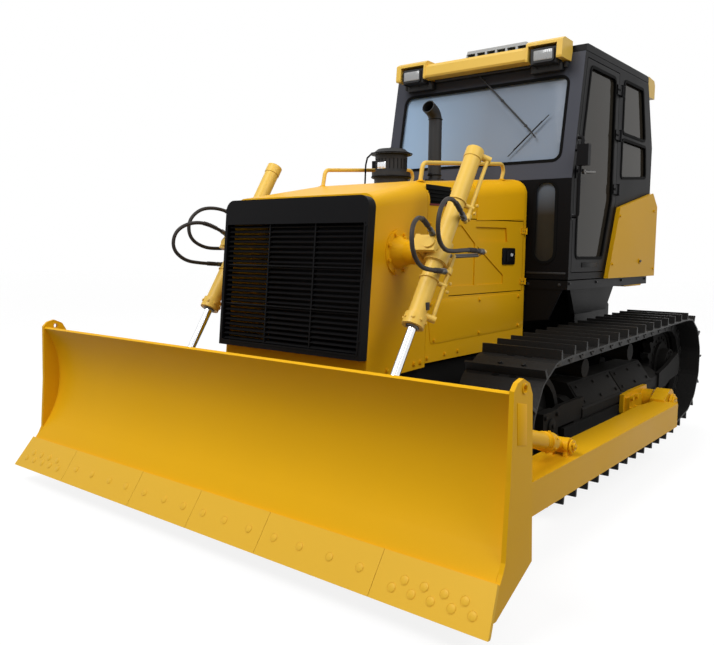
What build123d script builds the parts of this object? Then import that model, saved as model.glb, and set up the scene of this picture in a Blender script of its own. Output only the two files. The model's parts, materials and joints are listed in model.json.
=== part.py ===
from build123d import *
import os
from math import acos, asin, atan2, cos, degrees, hypot, pi, radians, sin

# Crawler bulldozer, 17 t class, millimetres.
# +X forward (towards the blade), +Y the machine's left, +Z up.
# Origin: on the ground, under the middle of the overall length, on the centre plane.

# ---- driving dimensions -------------------------------------------------------------------
BLADE_WIDTH = 3388
EDGE_FRONT = 2570           # cutting edge, also half of the overall length
EDGE_HEIGHT = 106           # cutting edge above the ground, blade carried low
BLADE_TOP = 965
FACE_ANGLE = 55             # cutting edge and lower moldboard, from the ground
FACE_RADIUS = 520           # curl of the moldboard
END_PLATE_OUT = 1668        # outer face of the end plates; the end bits flare beyond them

TRACK_GAUGE = 1880
SHOE_WIDTH = 510
SHOE_PITCH = 186
IDLER = (770, 472, 352)     # x, z, radius of the pin line
SPROCKET = (-1840, 535, 345)
REAR_ROLLER = (-1420, 270, 150)
PLATE_OUT = 65              # pin line to the shoe plate's outer face
PLATE_THICK = 12
GROUSER_OUT = 120           # pin line to the grouser's tip
RAIL_IN = 48                # pin line to the rail that the rollers run on
PIN_PHASE = 120             # first pin, past the bend where the chain turns up to the sprocket

ARM_PIVOT = (-900, 385)     # x, z of the trunnion that the push arms turn on
ARM_INNER, ARM_OUTER = 1220, 1420
ARM_LOW, ARM_HIGH = 240, 410

LIFT_Y = 780                # lift cylinders' planes
LIFT_PIVOT = (1505, 1480)
ROD_EYE = (2120, 498)

HOOD_REAR, HOOD_SEAM, GUARD_FRONT = -155, 1150, 1900
HOOD_HALF = 472
CAB_HALF = 800
CAB_FLOOR = 1300
SKIN = 10

LEFT, RIGHT = 1, -1
MID = Align.CENTER
LOW = Align.MIN

os.makedirs("parts", exist_ok=True)


# ---- helpers ------------------------------------------------------------------------------
def block(x0, x1, y0, y1, z0, z1):
    """Box between two opposite corners."""
    return Pos((x0 + x1) / 2, (y0 + y1) / 2, (z0 + z1) / 2) * Box(x1 - x0, y1 - y0, z1 - z0)


def side_plane(y):
    """Plane whose sketch axes are X and Z; extrusion runs towards -Y."""
    return Plane(origin=(0, y, 0), x_dir=(1, 0, 0), z_dir=(0, -1, 0))


def front_plane(x):
    """Plane whose sketch axes are Y and Z; extrusion runs towards +X."""
    return Plane(origin=(x, 0, 0), x_dir=(0, 1, 0), z_dir=(1, 0, 0))


def side_plate(outline, y0, y1):
    """Plate of an XZ outline (list of corners, or a face) between y0 and y1."""
    y0, y1 = min(y0, y1), max(y0, y1)
    face = Polygon(*outline, align=None) if isinstance(outline, list) else outline
    return extrude(side_plane(y1) * face, amount=y1 - y0, dir=(0, -1, 0))


def front_plate(outline, x0, x1):
    """Plate of a YZ outline between x0 and x1."""
    return extrude(front_plane(x0) * Polygon(*outline, align=None), amount=x1 - x0, dir=(1, 0, 0))


def axle(x, z, y0, y1, radius):
    """Round bar across the machine."""
    y0, y1 = min(y0, y1), max(y0, y1)
    return extrude(side_plane(y1) * Pos(x, z) * Circle(radius), amount=y1 - y0, dir=(0, -1, 0))


def bar(start, end, radius):
    """Round bar between two points."""
    start, end = Vector(*start), Vector(*end)
    return Plane(origin=start, z_dir=end - start) * Cylinder(radius, (end - start).length, align=(MID, MID, LOW))


def bent_bar(points, bend, radius):
    """Round bar along straight runs joined by equal bends."""
    path = FilletPolyline(*points, radius=bend)
    return sweep(Plane(origin=path @ 0, z_dir=path % 0) * Circle(radius), path=path)


def mirrored(shape):
    """The same shape on the other side of the machine."""
    return mirror(shape, about=Plane.XZ)


def sided(shape, side):
    """A shape drawn for the left, for the given side."""
    return shape if side == LEFT else mirrored(shape)


def both_sides(shape):
    """The left piece and its twin on the right."""
    return [shape, mirrored(shape)]


def rounded(outline, radius):
    """Polygon with every corner rounded."""
    face = Polygon(*outline, align=None)
    return fillet(face.vertices(), radius)


def save(name, shape):
    """Write one named piece."""
    solids = shape.solids() if hasattr(shape, "solids") else [s for part in shape for s in part.solids()]
    export_step(solids[0] if len(solids) == 1 else Compound(children=solids), f"parts/{name}.step")


# ---- tracks -------------------------------------------------------------------------------
def belt_segments(circles):
    """Lines and clockwise arcs of a belt round circles given as (x, z, radius)."""
    normals = []
    for (x0, z0, r0), (x1, z1, r1) in zip(circles, circles[1:] + circles[:1]):
        away = atan2(z1 - z0, x1 - x0)
        normals.append(away + acos((r0 - r1) / hypot(x1 - x0, z1 - z0)))
    segments = []
    for i, normal in enumerate(normals):
        x0, z0, r0 = circles[i]
        x1, z1, r1 = circles[(i + 1) % len(circles)]
        start = (x0 + r0 * cos(normal), z0 + r0 * sin(normal))
        end = (x1 + r1 * cos(normal), z1 + r1 * sin(normal))
        segments.append(("line", start, end, hypot(end[0] - start[0], end[1] - start[1])))
        turn = (normal - normals[(i + 1) % len(circles)]) % (2 * pi)
        segments.append(("arc", (x1, z1, r1), (normal, turn), r1 * turn))
    return segments


def belt_point(segments, distance):
    """Point at a distance along the belt."""
    distance %= sum(s[3] for s in segments)
    for kind, first, second, length in segments:
        if distance <= length:
            break
        distance -= length
    if kind == "line":
        part = distance / length
        return (first[0] + part * (second[0] - first[0]), first[1] + part * (second[1] - first[1]))
    angle = second[0] - distance / first[2]
    return (first[0] + first[2] * cos(angle), first[1] + first[2] * sin(angle))


def shoe_point(start, end, along, out):
    """Point of a shoe: a share of its pitch along it, and a distance out of the pin line."""
    dx, dz = end[0] - start[0], end[1] - start[1]
    length = hypot(dx, dz)
    return (start[0] + along * dx - out * dz / length, start[1] + along * dz + out * dx / length)


# Outline of one shoe: share of the pitch, distance out of the pin line.
SHOE_OUTLINE = [
    (0.03, PLATE_OUT), (0.70, PLATE_OUT), (0.72, GROUSER_OUT), (0.80, GROUSER_OUT), (0.83, PLATE_OUT),
    (0.97, PLATE_OUT),
]


def make_track(side):
    """One closed track: shoes with single grousers, and the two strands of its chain."""
    segments = belt_segments([IDLER, REAR_ROLLER, SPROCKET])
    length = sum(s[3] for s in segments)
    count = round(length / SHOE_PITCH)
    phase = segments[0][3] + segments[1][3] / 2 + PIN_PHASE
    pins = [belt_point(segments, phase + length * k / count) for k in range(count)]
    spans = list(zip(pins, pins[1:] + pins[:1]))
    tread = [shoe_point(a, b, along, out) for a, b in spans for along, out in SHOE_OUTLINE]
    plate_in = [shoe_point(a, b, part, PLATE_OUT - PLATE_THICK) for a, b in spans for part in (0.03, 0.97)]
    rail_out = [shoe_point(a, b, 0.5, PLATE_OUT - PLATE_THICK + 1) for a, b in spans]
    rail_in = [shoe_point(a, b, part, -RAIL_IN) for a, b in spans for part in (0.2, 0.8)]
    middle = TRACK_GAUGE / 2
    half = SHOE_WIDTH / 2
    shoes = side_plate(tread, middle - half, middle + half) - side_plate(plate_in, 0, 2 * middle)
    track = shoes
    for inner, outer in ((-95, -55), (55, 95)):
        strand = side_plate(rail_out, middle + inner, middle + outer)
        strand -= side_plate(rail_in, middle + inner - 1, middle + outer + 1)
        track += strand
    return sided(track, side)


# ---- undercarriage ------------------------------------------------------------------------
TRACK_Y = TRACK_GAUGE / 2
ROLLER_RADIUS = 99
BOTTOM_ROLLERS = [320, -12, -344, -676, -1008, -1340]    # x of the track rollers
CARRIER_ROLLERS = [60, -830]                             # x of the carrier rollers
ROLLER_Z = IDLER[1] - IDLER[2] + RAIL_IN + ROLLER_RADIUS + 1
CARRIER_RADIUS = 64


def wheel(x, z, steps):
    """Turned wheel across the machine from (half width, radius) steps."""
    body = None
    for half, radius in steps:
        disc = axle(x, z, TRACK_Y - half, TRACK_Y + half, radius)
        body = disc if body is None else body + disc
    return body


def make_idler():
    """Front idler: rail treads, a guiding rim between them, dished sides and a hub."""
    x, z, pin_radius = IDLER
    tread = pin_radius * cos(asin(SHOE_PITCH / 2 / pin_radius)) - RAIL_IN - 1
    idler = wheel(x, z, [(97, tread), (48, tread + 22)])
    for side in (-1, 1):
        y0, y1 = TRACK_Y + side * 40, TRACK_Y + side * 120
        dish = axle(x, z, y0, y1, tread - 42) - axle(x, z, y0, y1, 105)
        idler -= dish
    return idler + wheel(x, z, [(112, 62)])


def make_sprocket(teeth=21):
    """Drive sprocket: a toothed rim, a recessed web with bolts' circle and the hub."""
    x, z, pin_radius = SPROCKET
    root, tip = pin_radius - 34, pin_radius + 26
    outline = []
    for k in range(teeth):
        middle = 2 * pi * k / teeth
        for share, radius in ((-0.36, root), (-0.12, tip), (0.12, tip), (0.36, root)):
            angle = middle + share * 2 * pi / teeth
            outline.append((x + radius * cos(angle), z + radius * sin(angle)))
    sprocket = side_plate(outline, TRACK_Y - 31, TRACK_Y + 31)
    for side in (-1, 1):
        sprocket -= axle(x, z, TRACK_Y + side * 18, TRACK_Y + side * 40, root - 40)
    sprocket += wheel(x, z, [(40, 190)])
    sprocket += axle(x, z, TRACK_Y, TRACK_Y + 105, 135)
    return sprocket + axle(x, z, TRACK_Y, TRACK_Y + 125, 80)


def make_rollers():
    """Track rollers with double flanges and plain carrier rollers."""
    rollers = []
    for x in BOTTOM_ROLLERS:
        roller = wheel(x, ROLLER_Z, [(97, ROLLER_RADIUS), (48, ROLLER_RADIUS - 14), (128, 38)])
        for y in (TRACK_Y - 112, TRACK_Y + 99):
            roller += axle(x, ROLLER_Z, y, y + 13, ROLLER_RADIUS + 16)
        rollers.append(roller)
    for x in CARRIER_ROLLERS:
        rail_z = carrier_rail(x)
        roller = wheel(x, rail_z - CARRIER_RADIUS - 1, [(97, CARRIER_RADIUS), (40, CARRIER_RADIUS - 12)])
        rollers.append(roller + axle(x, rail_z - CARRIER_RADIUS - 1, TRACK_Y - 112, TRACK_Y, 32))
    return rollers


def carrier_rail(x):
    """Height of the upper run's rail at x."""
    top_front, top_rear = IDLER[1] + IDLER[2], SPROCKET[1] + SPROCKET[2]
    part = (IDLER[0] - x) / (IDLER[0] - SPROCKET[0])
    return top_front + part * (top_rear - top_front) - RAIL_IN


def make_track_frame():
    """Roller frame: box beam with a sloping bolted cover, idler fork, roller guards and supports."""
    beam_low = ROLLER_Z + ROLLER_RADIUS + 22
    beam = [(800, beam_low), (1085, beam_low), (1085, 500), (980, 560), (800, 560)]
    cover = [(810, 520), (1085, 420), (1100, 430), (1100, 480), (985, 640), (860, 655), (810, 610)]
    frame = front_plate(beam, -1450, 340) + front_plate(cover, -1190, 235)
    # roller guards hang along both sides of the rollers
    for y in (TRACK_Y - 158, TRACK_Y + 132):
        frame += side_plate([(-1500, 250), (-1440, 205), (420, 205), (520, 250), (520, beam_low + 20),
                             (-1500, beam_low + 20)], y, y + 26)
    # idler fork: two arms and sliding bearing blocks
    x, z, _ = IDLER
    for side in (-1, 1):
        y0, y1 = sorted((TRACK_Y + side * 118, TRACK_Y + side * 150))
        frame += side_plate([(200, 430), (x, 430), (x, z + 50), (560, 560), (200, 560)], y0, y1)
        y2, y3 = sorted((TRACK_Y + side * 116, TRACK_Y + side * 178))
        frame += block(x - 105, x + 105, y2, y3, z - 95, z + 85)
    # carrier roller brackets on the inner side
    for x in CARRIER_ROLLERS:
        rail_z = carrier_rail(x)
        post = [(x - 70, 540), (x + 70, 540), (x + 45, rail_z - 45), (x - 45, rail_z - 45)]
        frame += side_plate(post, TRACK_Y - 150, TRACK_Y - 112)
    # outboard bearing of the sprocket
    frame += side_plate([(-1560, 390), (-1380, 390), (-1380, 520), (-1600, 560), (-1900, 640), (-1950, 560),
                         (-1930, 450), (-1700, 430)], TRACK_Y + 128, TRACK_Y + 160)
    return frame


def make_trunnion():
    """Bracket on the track frame that carries the push arm's ball."""
    x, z = ARM_PIVOT
    bracket = side_plate([(x - 120, 320), (-470, 320), (-450, 350), (-450, 480), (-640, 490), (x - 60, 490)],
                         1102, 1130)
    bracket += block(x + 150, x + 420, 1125, 1165, 350, 455)
    for bolt_x, bolt_z in ((-500, 455), (-500, 375), (-600, 455), (-600, 375)):
        bracket += axle(bolt_x, bolt_z, 1160, 1186, 17)
    bracket += axle(x, z, 1125, 1205, 82) + axle(x, z, 1125, 1352, 46)
    return bracket + axle(x, z, 1334, 1352, 66)


# ---- blade --------------------------------------------------------------------------------
def on_face(along, behind):
    """Point of the blade's section: along the lower face from the tip, and behind it."""
    angle = radians(FACE_ANGLE)
    return (EDGE_FRONT - along * cos(angle) - behind * sin(angle),
            EDGE_HEIGHT + along * sin(angle) - behind * cos(angle))


EDGE_THICK = 16
END_FLARE = 30              # an end bit is this much narrower at its top
SKIN_THICK = 16
STRAIGHT = 330              # flat lower part of the face
CURL = on_face(STRAIGHT, EDGE_THICK - FACE_RADIUS)


def curl_point(elevation, behind):
    """Point on the curled upper part of the face."""
    radius = FACE_RADIUS + behind
    return (CURL[0] - radius * cos(elevation), CURL[1] + radius * sin(elevation))


def face_section(front, back, low):
    """Closed section between two offsets of the blade's face."""
    first = radians(FACE_ANGLE - 90)
    last = asin((BLADE_TOP - CURL[1]) / FACE_RADIUS)
    middle = (first + last) / 2
    base = EDGE_THICK
    edges = Line(on_face(low, base + front), on_face(STRAIGHT, base + front))
    edges += ThreePointArc(*[curl_point(a, front) for a in (first, middle, last)])
    edges += Line(curl_point(last, front), curl_point(last, back))
    edges += ThreePointArc(*[curl_point(a, back) for a in (last, middle, first)])
    edges += Line(on_face(STRAIGHT, base + back), on_face(low, base + back))
    edges += Line(on_face(low, base + back), on_face(low, base + front))
    return make_face(edges)


def lug(centre, root_low, root_high, radius, y0, y1):
    """Ear that tapers from its root to a rounded end with a pin."""
    ear = side_plate([root_low, root_high, (centre[0], centre[1] + radius), (centre[0] - radius, centre[1]),
                      (centre[0], centre[1] - radius)], y0, y1)
    return ear + axle(centre[0], centre[1], y0, y1, radius)


END_PLATE = [(2217, 948), (2172, 266), (2462, 129), on_face(45, 17.5), on_face(240, 17.5), (2400, 330),
             (2380, 640), (2374, 978), (2345, 1006), (2300, 1018), (2245, 994)]
EAR_HOLE = (2290, 978, 14)
TOP_RAIL = [(2356, 955), (2285, 945), (2228, 872), (2244, 838), (2302, 845), (2330, 905)]
BOTTOM_BOX = [(2430, 190), (2180, 176), (2140, 215), (2140, 385), (2310, 455), (2350, 400)]
RIB = [(2140, 380), (2320, 440), (2276, 640), (2292, 800), (2322, 880), (2235, 872), (2215, 700)]
BRACE_TOP = (2150, 755)


def make_moldboard():
    """Curled face, top rail, bottom box, ribs, lugs and end plates, welded in one."""
    inside = END_PLATE_OUT - 20
    blade = side_plate(TOP_RAIL, -inside, inside) + side_plate(BOTTOM_BOX, -1600, 1600)
    for y in (-1080, -360, 0, 360, 1080):
        blade += side_plate(RIB, y - 9, y + 9)
    for side in (-1, 1):
        for y in (LIFT_Y - 47, LIFT_Y + 47):
            y0, y1 = sorted((side * (y - 12), side * (y + 12)))
            blade += lug(ROD_EYE, (2335, 420), (2280, 640), 58, y0, y1)
        for y in (LIFT_Y - 67, LIFT_Y + 59):
            y0, y1 = sorted((side * y, side * (y + 8)))
            blade += axle(*ROD_EYE, y0, y1, 34)
        for y in (1320 - 52, 1320 + 28):
            y0, y1 = sorted((side * y, side * (y + 24)))
            blade += lug(BRACE_TOP, (2280, 670), (2300, 850), 52, y0, y1)
        for y in (ARM_INNER - 30, ARM_OUTER + 4):
            y0, y1 = sorted((side * y, side * (y + 26)))
            blade += lug((2045, 322), (2145, 225), (2145, 392), 62, y0, y1)
    # the members behind stop inside the skin, which keeps the face clean
    blade -= side_plate(face_section(-70, SKIN_THICK / 2, 0), -inside - 1, inside + 1)
    blade += side_plate(face_section(0, SKIN_THICK, 45), -inside, inside)
    for side in (-1, 1):
        y0, y1 = sorted((side * inside, side * END_PLATE_OUT))
        end = side_plate(END_PLATE, y0, y1)
        end -= axle(EAR_HOLE[0], EAR_HOLE[1], y0 - 1, y1 + 1, EAR_HOLE[2])
        blade += end
    return blade


def make_cutting_edges():
    """Bolt-on edges along the lower face: two flared end bits and four middle pieces."""
    seams = [-BLADE_WIDTH / 2, -1150, -490, 0, 490, 1150, BLADE_WIDTH / 2]
    section = [on_face(0, 0), on_face(200, 0), on_face(200, EDGE_THICK), on_face(8, EDGE_THICK)]
    edges = [side_plate(section, y0 + 1, y1 - 1) for y0, y1 in zip(seams, seams[1:])]
    low, high = EDGE_HEIGHT - 20, EDGE_HEIGHT + 180
    corner = front_plate([(BLADE_WIDTH / 2 + 4, low), (BLADE_WIDTH / 2 + 4, high),
                          (BLADE_WIDTH / 2 - END_FLARE, high), (BLADE_WIDTH / 2, EDGE_HEIGHT)], 2300, 2600)
    return [edge - corner - mirrored(corner) for edge in edges]


def make_push_arm(side):
    """Box-section push arm with its rear ball socket, front eye and brace lugs."""
    x, z = ARM_PIVOT
    plan = [(-780, ARM_OUTER - 20), (-760, ARM_OUTER), (1960, ARM_OUTER), (1960, ARM_INNER), (-500, ARM_INNER),
            (-780, ARM_INNER + 40)]
    arm = Pos(0, 0, ARM_LOW) * extrude(Polygon(*plan, align=None), amount=ARM_HIGH - ARM_LOW, dir=(0, 0, 1))
    front_eye = block(1950, 2045, ARM_INNER, ARM_OUTER, ARM_LOW + 12, ARM_HIGH - 12)
    arm += front_eye + axle(2045, 322, ARM_INNER, ARM_OUTER, 66)
    socket = axle(x, z, 1226, 1326, 100) + side_plate(
        [(x, z + 100), (-740, z + 40), (-740, ARM_LOW + 15), (x, z - 100)], 1226, 1326)
    socket -= axle(x, z, 1200, 1340, 46.1)
    arm += socket
    for y in (1320 - 50, 1320 + 28):
        arm += lug((1090, 462), (1040, ARM_HIGH - 5), (1140, ARM_HIGH - 5), 44, y, y + 22)
    arm += axle(1090, 462, 1320 - 58, 1320 + 58, 26)
    return sided(arm, side)


def make_brace():
    """Screw brace from the left arm to the blade's upper back."""
    low, high = Vector(1090, 1320, 462), Vector(BRACE_TOP[0], 1320, BRACE_TOP[1])
    run = high - low
    brace = bar(low + run * 0.14, low + run * 0.86, 46) + bar(low + run * 0.03, low + run * 0.97, 26)
    brace += bar(low + run * 0.14, low + run * 0.20, 54) + bar(low + run * 0.80, low + run * 0.86, 54)
    brace += axle(low.X, low.Z, 1320 - 27, 1320 + 27, 42) + axle(high.X, high.Z, 1320 - 27, 1320 + 27, 46)
    return brace - axle(low.X, low.Z, 1200, 1400, 26.1)


def make_tilt_cylinder():
    """Hydraulic tilt cylinder in the brace's place on the right."""
    low, high = Vector(1090, 1320, 462), Vector(BRACE_TOP[0], 1320, BRACE_TOP[1])
    run = high - low
    cylinder = bar(low + run * 0.10, low + run * 0.62, 58) + bar(low + run * 0.56, low + run * 0.62, 68)
    cylinder += bar(low + run * 0.03, low + run * 0.97, 26)
    cylinder += axle(low.X, low.Z, 1320 - 27, 1320 + 27, 42) + axle(high.X, high.Z, 1320 - 27, 1320 + 27, 46)
    return mirrored(cylinder - axle(low.X, low.Z, 1200, 1400, 26.1))


# ---- lift cylinders -----------------------------------------------------------------------
LIFT_RUN = Vector(ROD_EYE[0] - LIFT_PIVOT[0], 0, ROD_EYE[1] - LIFT_PIVOT[1])
BARREL_BACK, BARREL_FRONT = -660, 438       # along the axis from the pivot, towards the rod
CAP_THICK, GLAND_LONG, PISTON_THICK = 24, 30, 30
PISTON_BACK = 1118          # back of the piston, from the rod's eye
EYE_RADIUS, EYE_NECK = 46, 49
BARREL_OUT, BARREL_BORE, ROD_RADIUS = 47, 40, 24
PIPE_OFFSET = 84
FERRULE = 26


def lift_place(along, across=0.0):
    """Point beside the lift cylinder: along its axis, and across on the pipes' side."""
    axis = LIFT_RUN.normalized()
    behind = Vector(axis.Z, 0, -axis.X)
    pipe_side = (behind + Vector(0, 1, 0)).normalized()
    return Vector(LIFT_PIVOT[0], LIFT_Y, LIFT_PIVOT[1]) + axis * along + pipe_side * across


def lift_bar(start, end, radius):
    """Round piece on the lift cylinder's axis."""
    return bar(lift_place(start), lift_place(end), radius)


def make_lift_cylinder(side):
    """Barrel with cap, gland, trunnion yoke and outside pipes."""
    barrel = lift_bar(BARREL_BACK, BARREL_FRONT, BARREL_OUT)
    barrel += lift_bar(BARREL_BACK - 12, BARREL_BACK + 45, BARREL_OUT + 4)
    barrel += lift_bar(BARREL_FRONT - 62, BARREL_FRONT, BARREL_OUT + 12)
    barrel += lift_bar(-62, 62, BARREL_OUT + 15)
    # yoke: a fork whose shaft turns in the guard's flange
    pivot = Plane(origin=(LIFT_PIVOT[0], 0, LIFT_PIVOT[1]), x_dir=Vector(-LIFT_RUN.Z, 0, LIFT_RUN.X),
                  z_dir=(0, 1, 0))
    barrel += pivot * Pos(0, 0, 565) * Cylinder(45, 135, align=(MID, MID, LOW))
    fork = Box(210, 105, 26, align=(MID, MID, LOW)) + Pos(0, 0, 20) * Box(150, 70, 30, align=(MID, MID, LOW))
    barrel += pivot * Pos(0, 0, 676) * fork
    for edge in (-93, 93):
        barrel += pivot * Pos(edge, 0, 690) * Box(24, 92, 130, align=(MID, MID, LOW))
    barrel += pivot * Pos(0, 0, LIFT_Y) * Rot(0, 90, 0) * Cylinder(34, 232)
    # bore, open at the gland
    barrel -= lift_bar(BARREL_BACK + CAP_THICK, BARREL_FRONT - GLAND_LONG, BARREL_BORE)
    barrel -= lift_bar(BARREL_FRONT - GLAND_LONG - 1, BARREL_FRONT + 1, ROD_RADIUS + 0.06)
    # pipes along the barrel: end port, straight run, fitting
    for port, fitting, clamp in ((BARREL_BACK + 10, -265, -325), (BARREL_FRONT - 78, 76, 162)):
        low, high = sorted((port, fitting))
        barrel += bar(lift_place(port, BARREL_BORE + 3), lift_place(port, PIPE_OFFSET + 16), 19)
        barrel += bar(lift_place(low, PIPE_OFFSET), lift_place(high, PIPE_OFFSET), 11)
        barrel += bar(lift_place(clamp, BARREL_BORE + 3), lift_place(clamp, PIPE_OFFSET + 14), 13)
        barrel += bar(lift_place(fitting - 17, PIPE_OFFSET), lift_place(fitting + 17, PIPE_OFFSET), 18)
    # hose ends: each ferrule is in line with its hose, and an elbow joins it to its pipe or port
    ends = [(HOSE_UPPER[0], HOSE_UPPER[1], lift_place(-265, PIPE_OFFSET)),
            (HOSE_UPPER[-1], HOSE_UPPER[-2], (1150, 812, 1470)),
            (HOSE_LOWER[0], HOSE_LOWER[1], (1545, 776, 1540)),
            (HOSE_LOWER[-1], HOSE_LOWER[-2], lift_place(76, PIPE_OFFSET))]
    for mouth, inside, root in ends:
        away = (Vector(*mouth) - Vector(*inside)).normalized()
        elbow = Vector(*mouth) + away * FERRULE
        barrel += bar(mouth, elbow, 14) + Pos(*elbow) * Sphere(14) + bar(elbow, root, 10)
    barrel += Pos(1150, 812, 1470) * Sphere(10) + bar((1150, 812, 1470), (1450, 800, 1462), 10)
    return sided(barrel, side)


def make_lift_rod(side):
    """Chromed rod with its piston and its eye."""
    reach = LIFT_RUN.length
    rod = lift_bar(reach - PISTON_BACK, reach - 30, ROD_RADIUS)
    rod += lift_bar(reach - PISTON_BACK, reach - PISTON_BACK + PISTON_THICK, BARREL_BORE - 0.1)
    rod += axle(*ROD_EYE, LIFT_Y - 28, LIFT_Y + 28, EYE_RADIUS)
    rod += lift_bar(reach - EYE_NECK, reach - 30, 32)
    return sided(rod, side)


# Hoses, left side: points of their routes by hand.
HOSE_RADIUS = 11.5
HOSE_LOWER = [
    (1576, 786, 1578), (1680, 810, 1640), (1804, 846, 1658), (1914, 884, 1602), (1930, 900, 1488),
    (1842, 890, 1412), (1720, 874, 1396), (1636, 862, 1392), (1556, 850, 1386),
]
HOSE_UPPER = [
    (1364, 846, 1664), (1458, 868, 1722), (1568, 894, 1756), (1686, 922, 1746), (1770, 940, 1664),
    (1762, 936, 1552), (1664, 914, 1494), (1540, 894, 1490), (1414, 876, 1496), (1290, 862, 1498),
    (1166, 852, 1490),
]


def cord_radii(points):
    """Bend at each corner: as large as the two runs beside it allow."""
    radii = []
    for before, corner, after in zip(points, points[1:], points[2:]):
        first, second = Vector(*corner) - Vector(*before), Vector(*after) - Vector(*corner)
        turn = radians(first.get_angle(second))
        radii.append(0.45 * min(first.length, second.length) / (sin(turn / 2) / cos(turn / 2)))
    return radii


def make_hose(name, points, side):
    """Hose as straight runs joined by tangent arcs."""
    radii = cord_radii(points)
    path = FilletPolyline(*points, radius=radii)
    hose = sweep(Plane(origin=path @ 0, z_dir=path % 0) * Circle(HOSE_RADIUS), path=path)
    print(name, "length", round(path.length), "smallest bend", round(min(radii)),
          "volume share", round(hose.volume / (pi * HOSE_RADIUS ** 2 * path.length), 4))
    return sided(hose, side)


# ---- hood and radiator guard --------------------------------------------------------------
def arch(x, half_width, bottom, top, radius):
    """Upright section with rounded shoulders."""
    face = Polygon((-half_width, bottom), (half_width, bottom), (half_width, top), (-half_width, top), align=None)
    shoulders = face.vertices().sort_by(Axis.Y)[-2:]
    return front_plane(x) * fillet(shoulders, radius)


# Sections along the hood and guard: x, half width, top, shoulder radius
HOOD_SECTIONS = [(HOOD_REAR, HOOD_HALF, 2012, 110), (HOOD_SEAM, HOOD_HALF + 4, 1902, 120)]
GUARD_SECTIONS = [(HOOD_SEAM + 3, HOOD_HALF + 4, 1902, 120), (GUARD_FRONT, 552, 1757, 66)]


def shell_of(sections, bottom, skin):
    """Skin over two arch sections, open at both ends and below."""
    outer = loft([arch(x, half, bottom, top, radius) for x, half, top, radius in sections])
    inner = loft([arch(x + end, half - skin, bottom - 40, top - skin, radius - skin)
                  for (x, half, top, radius), end in zip(sections, (-1, 1))])
    return outer - inner


DOOR_OPENING = [(-118, 1211), (898, 1211), (898, 1696), (-118, 1712)]
SLOT = [(870, 1774), (1128, 1768), (1128, 1850), (870, 1874)]


def make_hood():
    """Hood skin with door openings, the air slots and the rear arch."""
    hood = shell_of(HOOD_SECTIONS, 822, SKIN)
    for y0, y1 in ((HOOD_HALF - 60, HOOD_HALF + 60), (-HOOD_HALF - 60, -HOOD_HALF + 60)):
        hood -= side_plate(DOOR_OPENING, y0, y1)
        hood -= side_plate(SLOT, y0, y1)
    for piece in [make_precleaner(), *make_handrails()]:
        hood -= piece
    return hood - Pos(EXHAUST[0], EXHAUST[1], 1900) * Cylinder(73, 120, align=(MID, MID, LOW))


GRILLE_FOOT = Vector(1866, 0, 919)
GRILLE_LEAN = 4.67
GRILLE_HIGH, GRILLE_WIDE, GRILLE_DEEP = 860, 1084, 60


def make_guard():
    """Radiator guard: tapering shell, floor, lower lip and lift cylinder flanges."""
    guard = shell_of(GUARD_SECTIONS, 800, 14)
    ahead = [(1708, 2050), (1809, 860), (1809, 700), (1950, 700), (1950, 2050)]
    guard -= side_plate(ahead, -700, 700)
    guard += block(HOOD_SEAM + 3, 1800, -470, 470, 800, 814)
    guard += side_plate([(1795, 800), (1809, 800), (1804, 915), (1790, 915)], -535, 535)
    for side in (-1, 1):
        flange = sorted((side * 500, side * 528))
        boss = sorted((side * 520, side * 650))
        guard += axle(*LIFT_PIVOT, *flange, 124) + axle(*LIFT_PIVOT, *boss, 64)
        hub = Plane(origin=(LIFT_PIVOT[0], side * 526, LIFT_PIVOT[1]), z_dir=(0, side, 0))
        guard += hub * Cone(92, 62, 70, align=(MID, MID, LOW))
        guard -= axle(*LIFT_PIVOT, *sorted((side * 530, side * 660)), 45.3)
        for k in range(8):
            angle = 2 * pi * (k + 0.5) / 8
            x, z = LIFT_PIVOT[0] + 107 * cos(angle), LIFT_PIVOT[1] + 107 * sin(angle)
            guard += axle(x, z, *sorted((side * 526, side * 540)), 10)
    return guard


def make_grille():
    """Leaning grille: rounded frame with a solid top band, louvre slats and two uprights."""
    lean = radians(GRILLE_LEAN)
    plane = Plane(origin=GRILLE_FOOT, x_dir=(0, 1, 0), z_dir=(cos(lean), 0, sin(lean)))
    face = Pos(0, GRILLE_HIGH / 2) * Rectangle(GRILLE_WIDE, GRILLE_HIGH)
    outer = fillet(face.vertices().sort_by(Axis.Y)[-2:], 62)
    low, high, half = 28, GRILLE_HIGH - 140, GRILLE_WIDE / 2 - 20
    window = Pos(0, (low + high) / 2) * Rectangle(2 * half, high - low)
    grille = extrude(outer - window, amount=-GRILLE_DEEP)
    back = Pos(0, (high + GRILLE_HIGH - 16) / 2) * Rectangle(2 * half, GRILLE_HIGH - 44 - high)
    grille -= Pos(0, 0, -GRILLE_DEEP) * extrude(back, amount=GRILLE_DEEP - 14)
    slats = 24
    pitch = (high - low) / slats
    for k in range(slats):
        y = low + pitch * (k + 0.5)
        grille += Pos(0, y, -24) * Rot(35, 0, 0) * Box(2 * half + 4, 5, 26)
    for x in (-half / 3, half / 3):
        grille += Pos(x, (low + high) / 2, -26) * Box(9, high - low + 4, 28)
    return plane * grille


HOOD_HINGE = (-135, HOOD_HALF + 12)
DOOR_OUTLINE = [(-112, 1217), (892, 1217), (892, 1690), (-112, 1706)]


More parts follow.
